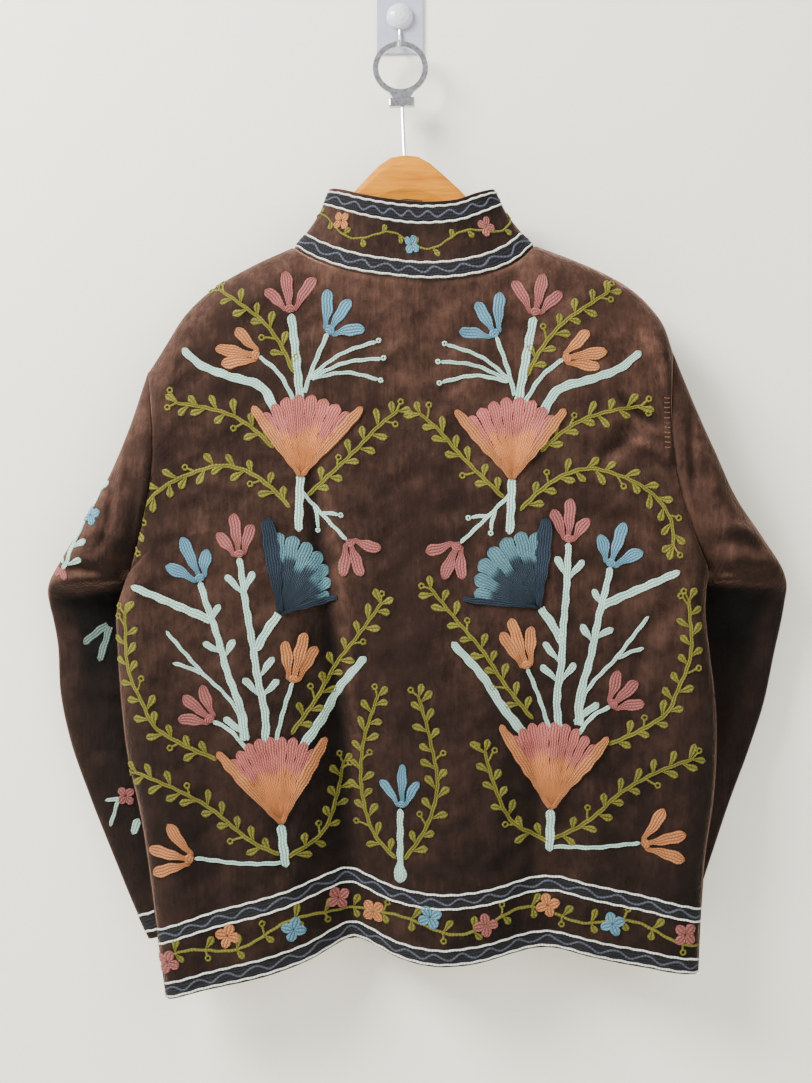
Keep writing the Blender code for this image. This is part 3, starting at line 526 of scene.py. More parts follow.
class Collar(Cloth):
    """A band from its top edge, v = 0, to the neck seam. s runs round the back between the front ends."""

    turn_left, turn_right = 0.26, 0.76
    length, height = 560.0, 79.0

    def loop(self, front_left, back, front_right, s):
        """Three splines end to end: left front, back and right front."""
        left = spline(front_left, 1 - s / self.turn_left)
        middle = spline(back, (s - self.turn_left) / (self.turn_right - self.turn_left))
        right = spline(front_right, (s - self.turn_right) / (1 - self.turn_right))
        at = s[..., None]
        return np.where(at < self.turn_left, left, np.where(at > self.turn_right, right, middle))

    def points(self, s, v):
        """Straight from the neck's loop to the top's, less a sine's hollow and the seam's groove."""
        s, v = np.broadcast_arrays(s, v)
        base = self.loop(NECK_FRONT_LEFT, NECK_BACK, NECK_FRONT_RIGHT, s)
        top = self.loop(COLLAR_FRONT_LEFT, COLLAR_BACK, COLLAR_FRONT_RIGHT, s)
        q = 1 - v[..., None]
        hollow = unit((base - top) * [1, 1, 0])
        bend = COLLAR_HOLLOW * np.sin(q * math.pi) + self.valley((1 - v) * self.height)[..., None]
        return (1 - q) * base + q * top - hollow * bend

    def find(self, along_mm, down_mm):
        """Millimetres over the band's length and height."""
        return np.clip(along_mm / self.length, 0, 1), np.clip(down_mm / self.height, 0, 1)

    def nap_and_painted_light(self, s, v, points):
        """Dark, and a little lighter towards the left end of the back."""
        return 0.36 + 0.2 * (1 - smooth(s, 0.3, 0.5))


def back_depth(x, z):
    """A plane, with a bell at the nape, the folds, the creases and the waves added."""
    y = np.full(x.shape, BACK_DEPTH)
    y -= NAPE_SWELL * bell(x, z, (CENTRE_X, NAPE_Z), NAPE_HALF)
    for fold in BACK_FOLDS:
        y += fold["depth"] * fold_share(fold, x, z, BACK_HEM_Z)
    return y + creased(x, z, BACK_CREASES) + rumple(x, z)


def front_depth(x, z):
    """A plane, tucked behind the sleeves at its lower sides, with folds, creases and waves added."""
    side = np.maximum(smooth(-x, *FRONT_TURN_LEFT), smooth(x, *FRONT_TURN_RIGHT))
    low = smooth(-z, *TUCK_BAND)
    y = FRONT_DEPTH + (TUCK_DEPTH - FRONT_DEPTH) * side * low
    y -= FRONT_EASE * side * (1 - low)
    for fold in FRONT_FOLDS:
        y += fold["depth"] * fold_share(fold, x, z, FRONT_HEM_Z)
    return y - creased(x, z, FRONT_LEFT_CREASES) - creased(x, z, FRONT_RIGHT_CREASES) + rumple(x, z)


def back_cloth():
    """The back between shoulders and neck, hem, and the two side edges."""
    def top(s):
        left = shoulder(SHOULDER_LEFT, s / NECK_LEFT_S)
        right = shoulder(SHOULDER_RIGHT, (1 - s) / (1 - NECK_RIGHT_S))
        neck = spline(NECK_BACK, (s - NECK_LEFT_S) / (NECK_RIGHT_S - NECK_LEFT_S))
        at = s[..., None]
        return np.where(at < NECK_LEFT_S, left, np.where(at > NECK_RIGHT_S, right, neck))

    return BodyPanel(top, lambda s: lifted_hem(HEM_BACK, s, BACK_FOLDS),
                     lambda v: side_edge(SLEEVE_LEFT, SIDE_LEFT, v, 1),
                     lambda v: side_edge(SLEEVE_RIGHT, SIDE_RIGHT, v, 1), back_depth)


def front_cloth(shoulder_table, neck_table, rings, seam, hem_table):
    """One front between shoulder and neck, hem, side edge and the straight opening."""
    def top(s):
        slope = shoulder(shoulder_table, s / FRONT_NECK_S)
        neck = spline(neck_table, (s - FRONT_NECK_S) / (1 - FRONT_NECK_S))
        return np.where((s < FRONT_NECK_S)[..., None], slope, neck)

    neck_end = np.array(neck_table[-1], float)
    hem_end = lifted_hem(hem_table, np.array([1.0]), FRONT_FOLDS)[0, 1]

    def opening(v):
        return np.stack([np.full(v.shape, neck_end[0]), np.full(v.shape, FRONT_DEPTH),
                         neck_end[2] + (hem_end - neck_end[2]) * v], axis=-1)

    face = -1.0 if rings[0][0] < 0 else 1.0
    return BodyPanel(top, lambda s: lifted_hem(hem_table, s, FRONT_FOLDS),
                     lambda v: side_edge(rings, seam, v, -1), opening, front_depth, face, sewn_right=False)


def front_cloths():
    """Both fronts by side."""
    return {"left": front_cloth(SHOULDER_LEFT, NECK_FRONT_LEFT, SLEEVE_LEFT, SIDE_LEFT, HEM_FRONT_LEFT),
            "right": front_cloth(SHOULDER_RIGHT, NECK_FRONT_RIGHT, SLEEVE_RIGHT, SIDE_RIGHT, HEM_FRONT_RIGHT)}


def put_mesh(name, points, faces, uvs=None, colours=None, nap_and_painted_light=None):
    """A mesh from points in millimetres and faces, with a UV, a colour and the pile's tone with its painted
    light and shade for each point.
    """
    mesh = bpy.data.meshes.new(name)
    mesh.from_pydata((np.asarray(points) * MM).tolist(), [], faces)
    corner = np.empty(len(mesh.loops), dtype=np.int32)
    mesh.loops.foreach_get("vertex_index", corner)
    if uvs is not None:
        layer = mesh.uv_layers.new(name="UVMap")
        layer.data.foreach_set("uv", np.asarray(uvs, dtype=np.float32)[corner].ravel())
    if colours is not None:
        paint = mesh.color_attributes.new("thread", "FLOAT_COLOR", "POINT")
        rgba = np.concatenate([colours, np.ones((len(colours), 1))], axis=1).astype(np.float32)
        paint.data.foreach_set("color", rgba.ravel())
    if nap_and_painted_light is not None:
        tone = mesh.attributes.new("nap_and_painted_light", "FLOAT", "POINT")
        tone.data.foreach_set("value", np.asarray(nap_and_painted_light, dtype=np.float32))
    mesh.shade_smooth()
    mesh.update()
    obj = bpy.data.objects.new(name, mesh)
    bpy.context.scene.collection.objects.link(obj)
    return obj


def grid_quads(rows, cols, start=0, wrap=False):
    """Corner numbers of the quads of a grid, as an array."""
    i, j = np.meshgrid(np.arange(rows - 1), np.arange(cols if wrap else cols - 1), indexing="ij")
    a = start + i * cols + j
    b = start + i * cols + (j + 1) % cols
    return np.stack([a, b, b + cols, a + cols], axis=-1).reshape(-1, 4)


def rim_quads(outer, middle, inner, closed):
    """Quads from the outer line through the rolled middle line to the inner one."""
    nxt = slice(None) if closed else slice(0, -1)
    quads = []
    for a, b in ((outer, middle), (middle, inner)):
        quads.append(np.stack([a[nxt], np.roll(a, -1)[nxt], np.roll(b, -1)[nxt], b[nxt]], axis=-1))
    return np.concatenate(quads)


def cloth_shell(name, cloth, cols, rows, free_edges, wrap=False):
    """The sheet's points and the same moved in by its thickness, thinner at seams, joined by rolled rims.

    The pile's tone is the sheet's own times one plus a gain on how far the cloth faces the way of the light:
    painted light and shade.
    """
    s = np.linspace(0, 1, cols + 1)[: cols if wrap else cols + 1]
    v = np.linspace(0, 1, rows + 1)
    S, V = np.meshgrid(s, v)
    outer = cloth.points(S, V)
    normals = cloth.normals(S, V)
    if wrap:
        wrapped = np.concatenate([outer[:, -1:], outer, outer[:, :1]], axis=1)
        crossed = np.cross(np.gradient(wrapped, axis=0), np.gradient(wrapped, axis=1))
        normals = unit(crossed)[:, 1:-1] * cloth.face
    thick = np.full(S.shape, CLOTH_THICK)
    edges = {"top": outer[:1], "bottom": outer[-1:], "left": outer[:, :1], "right": outer[:, -1:]}
    for edge, line in edges.items():
        if edge in free_edges or (wrap and edge in ("left", "right")):
            continue
        gap = np.linalg.norm(outer - line, axis=-1)
        thick = np.minimum(thick, SEAM_THICK + (CLOTH_THICK - SEAM_THICK) * smooth(gap, 0.0, SEAM_RUN))
    inner = outer - normals * thick[..., None]
    n_rows, n_cols = outer.shape[:2]
    count = n_rows * n_cols
    points = [outer.reshape(-1, 3), inner.reshape(-1, 3)]
    faces = [grid_quads(n_rows, n_cols, 0, wrap), grid_quads(n_rows, n_cols, count, wrap)[:, ::-1]]
    index = np.arange(count).reshape(n_rows, n_cols)
    lines = [(index[0], index[1]), (index[-1], index[-2])]
    if not wrap:
        lines += [(index[:, 0], index[:, 1]), (index[:, -1], index[:, -2])]
    flat_outer, flat_inner = points
    start = 2 * count
    for edge, before in lines:
        out = unit(flat_outer[edge] - flat_outer[before])
        depth = np.linalg.norm(flat_outer[edge] - flat_inner[edge], axis=-1, keepdims=True)
        points.append((flat_outer[edge] + flat_inner[edge]) / 2 + out * depth * 0.4)
        middle = start + np.arange(len(edge))
        faces.append(rim_quads(edge, middle, edge + count, wrap))
        start += len(edge)
    uv = np.stack([S, V], axis=-1).reshape(-1, 2)
    every = np.concatenate(points)
    pad = np.zeros((len(every) - 2 * count, 2))
    facing = normals @ unit(np.array(PAINTED_LIGHT_WAY))
    tone = (cloth.nap_and_painted_light(S, V, outer) * np.clip(1 + PAINTED_LIGHT_GAIN * facing, *PAINTED_LIGHT_RANGE)).ravel()
    nap_and_painted_light = np.concatenate([tone, INSIDE_TONE * tone, np.ones(len(pad))])
    obj = put_mesh(name, every, np.concatenate(faces).tolist(), np.concatenate([uv, uv, pad]), nap_and_painted_light=nap_and_painted_light)
    close_outward(obj)
    return obj


def close_outward(obj, merge=True):
    """Joins doubled points and turns every face outward."""
    tidy = bmesh.new()
    tidy.from_mesh(obj.data)
    if merge:
        bmesh.ops.remove_doubles(tidy, verts=tidy.verts, dist=1e-6)
    bmesh.ops.recalc_face_normals(tidy, faces=tidy.faces)
    if merge and tidy.calc_volume(signed=True) < 0:
        bmesh.ops.reverse_faces(tidy, faces=tidy.faces)
    tidy.to_mesh(obj.data)
    tidy.free()


ROW = 3.0               # width of one row of chain stitch
LINK = 3.4              # length of one link of the chain
THREAD_HEIGHT = 1.1
LEAST_STEPS = 6
PAINTED_SHADE_BAND = (520, 860)  # painted shade: threads grow darker down this band below the hook
PAINTED_SHADE_SHARE = 0.22


def lengths(line):
    """Running sum of the distances between a line's points."""
    steps = np.linalg.norm(np.diff(line, axis=0), axis=1)
    return np.concatenate([[0.0], np.cumsum(steps)])


def resample(points, spacing=3.0):
    """Even steps along the smooth curve through a few points."""
    table = np.array(points, float)
    if len(table) == 2:
        table = np.array([table[0], table.mean(axis=0), table[1]])
    size = lengths(table)[-1]
    count = max(LEAST_STEPS, int(round(size / spacing)))
    return spline(table, np.linspace(0, 1, count + 1))


def rounded_ends(line, half, start=True):
    """Narrows a strip's half width to a half circle at its end, and at its start unless that is square."""
    along = lengths(line)
    half = np.broadcast_to(np.asarray(half, float), along.shape).copy()
    for gap in (along, along[-1] - along)[0 if start else 1:]:
        t = np.clip(1 - gap / np.maximum(half, 0.1), 0, 1)
        half = half * np.sqrt(np.clip(1 - t * t, 0.02, 1))
    return half


def petal(half, share, widest, closing):
    """A petal's half width: 0.42 of it at the foot, the whole of it further on, and 0.3 less at the tip."""
    return half * (0.42 + 0.58 * smooth(share, *widest)) * (1 - 0.3 * smooth(share, closing, 1.0))


class Sewing:
    """Strips of chain stitch on one cloth: lines with a half width, ridged once for each row of stitches."""

    def __init__(self, name, cloth):
        self.name, self.cloth = name, cloth
        self.strips = []
        self.shade = 1.0
        self.random = np.random.default_rng(7)

    def strip(self, line, half, colour, rows=None, height=THREAD_HEIGHT, lift=0.0):
        """Carries the ridged section along the line, higher and lower by turns at every half link."""
        line = np.asarray(line, float)
        half = np.broadcast_to(np.asarray(half, float), (len(line),))
        colour = np.broadcast_to(np.asarray(colour, float), (len(line), 3))
        size = lengths(line)
        count = max(4, int(math.ceil(size[-1] / (LINK / 2))))
        along = np.linspace(0, size[-1], count + 1)
        line = np.stack([np.interp(along, size, line[:, k]) for k in range(2)], axis=-1)
        colour = np.stack([np.interp(along, size, colour[:, k]) for k in range(3)], axis=-1)
        beat = np.where(np.arange(count + 1) % 2, 1.0, -1.0)
        shift, swell = self.random.uniform(0, 2 * math.pi, 2)
        half = np.interp(along, size, half)
        half = half * (1 + 0.07 * np.sin(along / 3.1 + swell)) + 0.12 * beat * (half > 1)
        rows = rows or max(1, int(round(2 * half.max() / ROW)))
        phase = np.linspace(0, rows, 3 * rows + 1)
        ridge = 0.35 + 0.65 * np.abs(np.sin(math.pi * phase))
        links = 1 + 0.2 * beat[:, None] * np.where(phase.astype(int) % 2, -1, 1)
        low = np.clip(half / 1.4, 0.25, 1)[:, None]
        rises = (height * ridge * links + lift) * low
        rises[:, [0, -1]] = -0.25 * low
        rises = np.concatenate([rises, np.full((count + 1, 2), -0.7)], axis=1)
        across = np.concatenate([2 * phase / rows - 1, [0.7, -0.7]])
        phase = np.concatenate([phase, [rows, 0.0]])
        tangent = unit(np.gradient(line, axis=0))
        side = np.stack([-tangent[:, 1], tangent[:, 0]], axis=-1)
        line = line + side * (0.3 * np.sin(along / 2.6 + shift))[:, None]
        plane = line[:, None] + side[:, None] * (half[:, None] * across)[..., None]
        uv = np.stack(np.broadcast_arrays(along[:, None], phase), axis=-1)
        tone = self.shade * (1 + self.random.uniform(-0.09, 0.09))
        paint = np.broadcast_to(colour[:, None] * tone, (*rises.shape, 3))
        self.strips.append((plane, rises, uv, paint))

    def build(self):
        """Puts every strip on the cloth: its own point, moved out along its normal."""
        flat = np.concatenate([strip[0].reshape(-1, 2) for strip in self.strips])
        rises = np.concatenate([strip[1].ravel() for strip in self.strips])
        s, v = self.cloth.find(flat[:, 0], flat[:, 1])
        points = self.cloth.points(s, v) + self.cloth.normals(s, v) * rises[:, None]
        # Painted shade: the threads' colour darkens down the band
        painted_low_shade = 1 - PAINTED_SHADE_SHARE * smooth(-points[:, 2], *PAINTED_SHADE_BAND)[:, None]
        faces, uvs, paints = [], [], []
        start = 0
        for plane, _, uv, paint in self.strips:
            count, ring = plane.shape[:2]
            faces += grid_quads(count, ring, start, wrap=True).tolist()
            faces.append((start + np.arange(ring)).tolist())
            faces.append((start + (count - 1) * ring + np.arange(ring)[::-1]).tolist())
            uvs.append(uv.reshape(-1, 2))
            paints.append(paint.reshape(-1, 3))
            start += count * ring
        obj = put_mesh(self.name, points, faces, np.concatenate(uvs), np.concatenate(paints) * painted_low_shade)
        close_outward(obj, merge=False)
        dress(obj, thread_look())
        keep(obj, "velvet")


def thread(name):
    """A thread's colour from the scene's settings."""
    return np.array(getattr(bpy.context.scene.coat_threads, name))


class Bed:
    """Where a plant grows: its root on the sheet, mirrored or not, and how far it leans with height."""

    gloss = np.array([1.38, 1.3, 1.15])    # painted highlight: a fan's long rows are brightened as if they catch more light
    leaflet_size, first_leaflet, leaflet_gap = 17.0, 9.0, 10.0

    def __init__(self, sewing, root, mirror=1.0, lean=0.0):
        self.sewing, self.root, self.mirror, self.lean = sewing, np.array(root, float), mirror, lean

    def at(self, points):
        """The root plus each point, mirrored in x and pushed sideways by its height times the lean."""
        points = np.atleast_2d(np.array(points, float)) * PHOTO_SCALE
        x = self.mirror * points[:, 0] + self.lean * points[:, 1]
        return self.root + np.stack([x, points[:, 1]], axis=-1)

    def stem(self, points, width, colour="mint", taper=1.0, round_start=False, eye=False):
        """A strip along a curve, narrowing evenly to the taper, with a small ring on its end or not."""
        line = resample(self.at(points))
        half = width / 2 * np.linspace(1, taper, len(line))
        self.sewing.strip(line, rounded_ends(line, half, round_start), thread(colour))
        if eye:
            self.eye(line[-1] + unit(line[-1] - line[-2]) * 1.5, 1.9, colour, 2.6)

    def eye(self, centre, radius, colour, width):
        """A small ring of one row."""
        turn = np.linspace(0, 2 * math.pi, 17)
        ring = centre + radius * np.stack([np.cos(turn), np.sin(turn)], axis=-1)
        self.sewing.strip(ring, width / 2, thread(colour), rows=1, height=1.0, lift=0.1)

    def leaf(self, points, width):
        """A thin foot that widens to a round end."""
        line = resample(self.at(points), 2.2)
        share = np.linspace(0, 1, len(line))
        half = width / 2 * (0.45 + 0.55 * smooth(share, 0.15, 0.65))
        self.sewing.strip(line, rounded_ends(line, half), thread("mint"))

    def tulip(self, base, tips, colour, width=12.6):
        """Three petals from a broad base. Each is widest past its middle and closes to a round tip."""
        base, tips = np.array(base, float), np.array(tips, float)
        away = unit(tips.mean(axis=0) - base)
        sideways = np.array([-away[1], away[0]])
        order = np.argsort((tips - base) @ sideways)
        foot = width * 0.33
        for place, tip in zip((-foot, 0.0, foot), tips[order]):
            start = base + sideways * place
            bend = start + (tip - start) * 0.45 + away * 2.5
            line = resample(self.at([start, bend, tip]), 2.4)
            share = np.linspace(0, 1, len(line))
            half = petal(width / 2, share, (0.15, 0.62), 0.75)
            lift = 0.5 if place == 0 else 0.0
            self.sewing.strip(line, rounded_ends(line, half), thread(colour), lift=lift)
        cup = self.at([base - sideways * foot, base + away * 3, base + sideways * foot])
        line = resample(cup, 2.4)
        self.sewing.strip(line, rounded_ends(line, width * 0.4), thread(colour), lift=0.5)

    def branch(self, points):
        """A spine, leaflets by turns on both sides, every seventh with an open eye, and two at its tip."""
        line = resample(self.at(points), 3.0)
        along = lengths(line)
        half = np.linspace(2.6, 2.0, len(line))
        self.sewing.strip(line, rounded_ends(line, half), thread("olive"), rows=2)
        tangent = unit(np.gradient(line, axis=0))
        for number, place in enumerate(np.arange(self.first_leaflet, along[-1] - 4, self.leaflet_gap)):
            at = int(np.searchsorted(along, place))
            angle = math.radians(48) * (1 if number % 2 else -1) + self.sewing.random.uniform(-0.22, 0.22)
            way = turned(tangent[at], angle)
            size = self.leaflet_size * self.sewing.random.uniform(0.82, 1.12)
            self.leaflet(line[at], way, size, number % 7 == 3)
        for angle in (-0.5, 0.55):
            self.leaflet(line[-2], turned(tangent[-2], angle), self.leaflet_size * 0.85, angle > 0)

    def leaflet(self, base, way, size, opened=False):
        """A thin foot with a round end, or with a small ring on it."""
        share = np.linspace(0, 1, 8)
        if opened:
            line = base + way * (share * (size - 5))[:, None]
            self.sewing.strip(line, 1.5, thread("olive"), rows=1)
            self.eye(base + way * (size - 3.6), 2.5, "olive", 2.8)
            return
        line = base + way * (share * size)[:, None]
        half = 4.3 * (0.36 + 0.64 * smooth(share, 0.15, 0.7))
        self.sewing.strip(line, rounded_ends(line, half), thread("olive"), rows=2)

    def fan(self, first, last, count, inner, outer, sepal, zone=(0.50, 0.68), sepal_widths=(11.0, 11.0)):
        """Petals between two directions from the root, each widening with its radius to a round top."""
        first, last = np.array(first, float), np.array(last, float)
        turns = [math.atan2(tip[1], tip[0]) for tip in (first, last)]
        sizes = [np.linalg.norm(tip) for tip in (first, last)]
        spread = (turns[1] - turns[0]) / count
        for k in range(count):
            share = (k + 0.5) / count
            turn = turns[0] + spread * (k + 0.5)
            size = (sizes[0] + (sizes[1] - sizes[0]) * share) * (0.87 + 0.09 * math.sin(math.pi * share))
            size += self.sewing.random.uniform(-1.5, 1.5)
            away = np.array([math.cos(turn), math.sin(turn)])
            line = self.at(away * np.linspace(3, size, max(12, int(size / 2.5)))[:, None])
            radius = np.linalg.norm(line - self.root, axis=1)
            half = radius * abs(math.tan(spread / 2)) * 1.02 + 0.3
            drift = self.sewing.random.uniform(-0.09, 0.09)
            blend = smooth(radius / radius[-1], zone[0] + drift, zone[1] + drift)[:, None]
            colour = np.minimum(self.gloss * (thread(inner) * (1 - blend) + thread(outer) * blend), 1.0)
            self.sewing.strip(line, rounded_ends(line, half, False), colour, lift=0.75 + 0.2 * (k % 2))
        for tip, width in zip((first, last), sepal_widths):
            line = resample(self.at([(0, 0), tip / 2, tip * 1.04]), 2.6)
            share = np.linspace(0, 1, len(line))
            half = petal(width / 2, share, (0.1, 0.6), 0.8)
            self.sewing.strip(line, rounded_ends(line, half), 0.95 * thread(sepal), lift=1.7)


def turned(way, angle):
    """A direction turned by an angle."""
    cos, sin = math.cos(angle), math.sin(angle)
    return np.array([way[0] * cos - way[1] * sin, way[0] * sin + way[1] * cos])


def plant_upper(bed):
    """Branches, stems, a fan and four tulips of the upper plant, in photo units from the fan's root."""
    bed.branch([(-6, 103), (-19, 131), (-37, 155), (-59, 172), (-84, 190)])
    bed.branch([(-26, 28), (-46, 47), (-66, 60), (-91, 68), (-126, 74)])
    bed.branch([(-10, -31), (-28, -12), (-55, 6), (-80, 11), (-101, 6), (-126, -4), (-148, -20), (-162, -40),
                (-168, -70)])
    bed.branch([(6, -19), (34, 6), (57, 28), (79, 51), (99, 67)])
    bed.stem([(0, 76), (-4, 120), (-9, 163)], 9)
    bed.stem([(4, 84), (14, 112), (28, 144)], 5)
    bed.stem([(8, 98), (40, 122), (77, 135)], 4.2, eye=True)
    bed.stem([(10, 98), (46, 114), (82, 118)], 4.2, eye=True)
    bed.stem([(12, 98), (46, 104), (79, 97)], 4.2, eye=True)
    bed.stem([(-6, 76), (-22, 104), (-42, 121)], 5)
    bed.stem([(-25, 66), (-37, 88), (-73, 101), (-100, 112), (-118, 128)], 10, taper=0.78)
    bed.stem([(0, 0), (-1, -26), (-2, -55)], 9)
    bed.stem([(2, -16), (24, -40), (47, -64)], 4.4)
    bed.stem([(14, -30), (17, -44), (17, -52)], 4.2, eye=True)
    bed.stem([(22, -36), (32, -37), (39, -38)], 4.2, eye=True)
    bed.fan((60, 67), (-46, 68), 8, "peach", "mauve", "peach")
    bed.tulip((-10, 165), [(-35, 187), (-15, 206), (15, 199)], "rose")
    bed.tulip((28, 144), [(27, 187), (50, 177), (65, 147)], "blue")
    bed.tulip((-42, 121), [(-64, 149), (-85, 128), (-79, 112)], "peach")
    bed.tulip((49, -64), [(42, -100), (61, -100), (81, -72)], "rose")


def plant_lower(bed):
    """Branches, stems, leaves, a fan and five tulips of the lower plant."""
    bed.branch([(10, 90), (35, 125), (55, 160), (78, 190), (102, 223)])
    bed.branch([(-63, 65), (-87, 75), (-106, 85), (-124, 97), (-138, 122), (-150, 146), (-157, 213)])
    bed.branch([(0, -31), (-26, -19), (-47, -3), (-65, 12), (-87, 26), (-110, 38), (-130, 46), (-148, 52)])
    bed.branch([(5, -35), (42, -10), (55, 25), (62, 60)])
    bed.stem([(0, 0), (2, -20), (5, -44)], 9.5, round_start=True)
    bed.stem([(0, -39), (-40, -39), (-87, -34)], 4.6)
    bed.stem([(-15, 83), (-15, 107), (-23, 147), (-28, 182), (-35, 223), (-41, 268)], 8.5, taper=0.8)
    bed.stem([(-35, 85), (-37, 107), (-54, 156), (-64, 192), (-76, 227), (-81, 244)], 8.5, taper=0.8)
    bed.stem([(-38, 84), (-41, 109), (-82, 156), (-115, 194)], 4.4)
    bed.stem([(-80, 152), (-94, 158), (-108, 162)], 4.4)
    bed.stem([(-34, 76), (-50, 94), (-69, 104)], 4.8)
    bed.stem([(-5, 82), (3, 115), (12, 143)], 4.8)
    bed.stem([(22, 78), (42, 107), (55, 131), (85, 168)], 10, taper=0.8)
    bed.stem([(-70, 205), (-110, 222), (-150, 239)], 9.5, taper=0.8)
    for root, tip in [((-37, 231), (-55, 250)), ((-36, 233), (-27, 254)), ((-21, 129), (-37, 147)),
                      ((-19, 128), (-2, 145)), ((-21, 148), (-7, 168)), ((-69, 205), (-61, 221)),
                      ((-58, 172), (-78, 182)), ((-56, 168), (-46, 186)), ((-30, 88), (-57, 107))]:
        bed.leaf([root, tip], 8)
    bed.fan((42, 82), (-61, 70), 9, "peach", "mauve", "peach")
    bed.tulip((-41, 269), [(-64, 292), (-47, 312), (-28, 301)], "rose")
    bed.tulip((-80, 245), [(-115, 259), (-99, 288), (-73, 276)], "blue")
    bed.tulip((-69, 104), [(-79, 140), (-98, 129), (-103, 106)], "rose")
    bed.tulip((12, 143), [(4, 184), (24, 192), (35, 178)], "peach")
    bed.tulip((-89, -35), [(-113, 1), (-133, -25), (-129, -51)], "peach")


def plant_blue(bed, upright, level):
    """The blue fan on its stem."""
    bed.stem([(-2, -1), (-14, -18), (-25, -38)], 9)
    bed.fan(level, upright, 7, "navy", "sky", "navy", (0.64, 0.74), (7.0, 16.0))


def plant_centre(bed):
    """The small plant between two upright branches."""
    bed.branch([(-4, 18), (-25, 40), (-38, 80), (-38, 130), (-22, 185)])
    bed.branch([(4, 18), (25, 50), (37, 90), (30, 140), (18, 185)])
    bed.stem([(0, 0), (0, 35), (0, 70)], 7)
    bed.leaf([(0, 22), (0, -6)], 13)
    bed.tulip((2, 72), [(-20, 98), (2, 115), (18, 98)], "blue", 10)


# By side: root, mirror and lean of the upper plant, of the blue fan, its two tips, and of the lower plant
PLANT_BEDS = [
    ("left", ((-100, -502), 1, 0), ((-120, -640), 1), ((-13, 92), (55, 16)), ((-120, -854), 1, 0)),
    ("right", ((114, -505), -1, 0.08), ((141, -634), -1), ((-7, 86), (74, 8)), ((154, -839), -1, -0.09)),
]


def flower(sewing, centre, colour, size=6.6, turn=0.6):
    """Four round petals about a centre."""
    for k in range(4):
        angle = turn + math.pi / 2 * k
        way = np.array([math.cos(angle), math.sin(angle)])
        line = np.array(centre) + way * np.linspace(0.5, size * 1.95, 7)[:, None]
        half = size * 0.88 * (0.6 + 0.4 * smooth(np.linspace(0, 1, 7), 0, 0.5))
        sewing.strip(line, rounded_ends(line, half), thread(colour), rows=3, lift=0.6)


def edging(sewing, at, bands, half, lines, wave=None):
    """Dark bands, with a wave along each if one is given, and light lines, each a line at(height)."""
    for height in bands:
        sewing.strip(at(height), half, thread("slate"), rows=4, height=0.5)
        if wave is not None:
            sewing.strip(at(height + wave), 1.7, thread("wave"), rows=1, height=0.7, lift=0.3)
    for height in lines:
        sewing.strip(at(height), 1.35, thread("white"), rows=1, height=THREAD_HEIGHT, lift=0.3)


def level_line(along):
    """Gives, for a height, the line of points along and that height."""
    return lambda height: np.stack([along, height + 0 * along], axis=-1)


HEM_LINES = (78.0, 62.5, 17.5, 2.2)
HEM_BANDS = (70.2, 9.8)
HEM_VINE = 41.0
HEM_ENDS = (0.004, 0.996)


def border(sewing, cloth, flowers, fall):
    """Lines, wavy bands and a flowering vine at set heights above a panel's hem."""
    s = np.linspace(*HEM_ENDS, 230)

    def above(height, shares=s):
        return cloth.flat(shares, 1 - height / fall + 0 * shares)

    size = lengths(above(HEM_VINE))
    edging(sewing, above, HEM_BANDS, 6.2, HEM_LINES,
           3.2 * np.sin(2 * math.pi * size / 31 + 1.1 * np.sin(size / 47)))
    swing = 7.0 * np.sin(2 * math.pi * size / 118 + 0.5)
    vine = above(HEM_VINE + swing)
    sewing.strip(vine, 2.0, thread("olive"), rows=1)
    leaves = Bed(sewing, (0, 0))
    tangent = unit(np.gradient(vine, axis=0))
    for number, place in enumerate(np.arange(16, size[-1] - 12, 31)):
        at = int(np.searchsorted(size, place))
        for side in (1, -1):
            way = turned(tangent[at], side * math.radians(66))
            leaves.leaflet(vine[at], way, 16 if side > 0 else 12, (number + side) % 4 == 0)
    for x, height, colour in flowers:
        at = int(np.argmin(np.abs(vine[:, 0] - x)))
        spot = above(np.array([height]), s[at : at + 1])[0]
        flower(sewing, spot, colour, turn=0.5 + 0.05 * x)


BACK_FLOWERS = [(-236, 41, "rose"), (-172, 50, "peach"), (-109, 38, "blue"), (-62, 48, "rose"),
                (-27, 40, "peach"), (31, 53, "blue"), (87, 40, "rose"), (153, 46, "peach"),
                (217, 41, "blue"), (288, 46, "rose")]
COLLAR_FLOWERS = [(60, 38, "blue"), (120, 42, "rose"), (190, 33, "peach"), (283, 43, "blue"),
                  (378, 36, "rose"), (440, 42, "peach"), (505, 38, "blue")]
FRONT_LEFT_FLOWERS = [(-215, 40, "blue"), (-155, 46, "rose"), (-95, 38, "peach"), (-35, 46, "blue")]
FRONT_RIGHT_FLOWERS = [(60, 40, "peach"), (120, 46, "blue"), (180, 38, "rose"), (240, 46, "peach")]


class Value:
    """A shader socket in a Python expression, whose operators add Math nodes."""

    def __init__(self, look, socket):
        self.look, self.socket = look, socket

    def maths(self, operation, first, second=0.0):
        return self.look.node("ShaderNodeMath", {"operation": operation}, {0: first, 1: second})

    def __add__(self, other):
        return self.maths("ADD", self, other)

    def __mul__(self, other):
        return self.maths("MULTIPLY", self, other)

    def __sub__(self, other):
        return self.maths("SUBTRACT", self, other)

    def __rsub__(self, other):
        return self.maths("SUBTRACT", other, self)

    def __truediv__(self, other):
        return self.maths("DIVIDE", self, other)

    __radd__, __rmul__ = __add__, __mul__

    def floor(self):
        return self.maths("FLOOR", self)

    def fraction(self):
        return self.maths("FRACT", self)

    def sine(self):
        return self.maths("SINE", self)

    def size(self):
        return self.maths("ABSOLUTE", self)


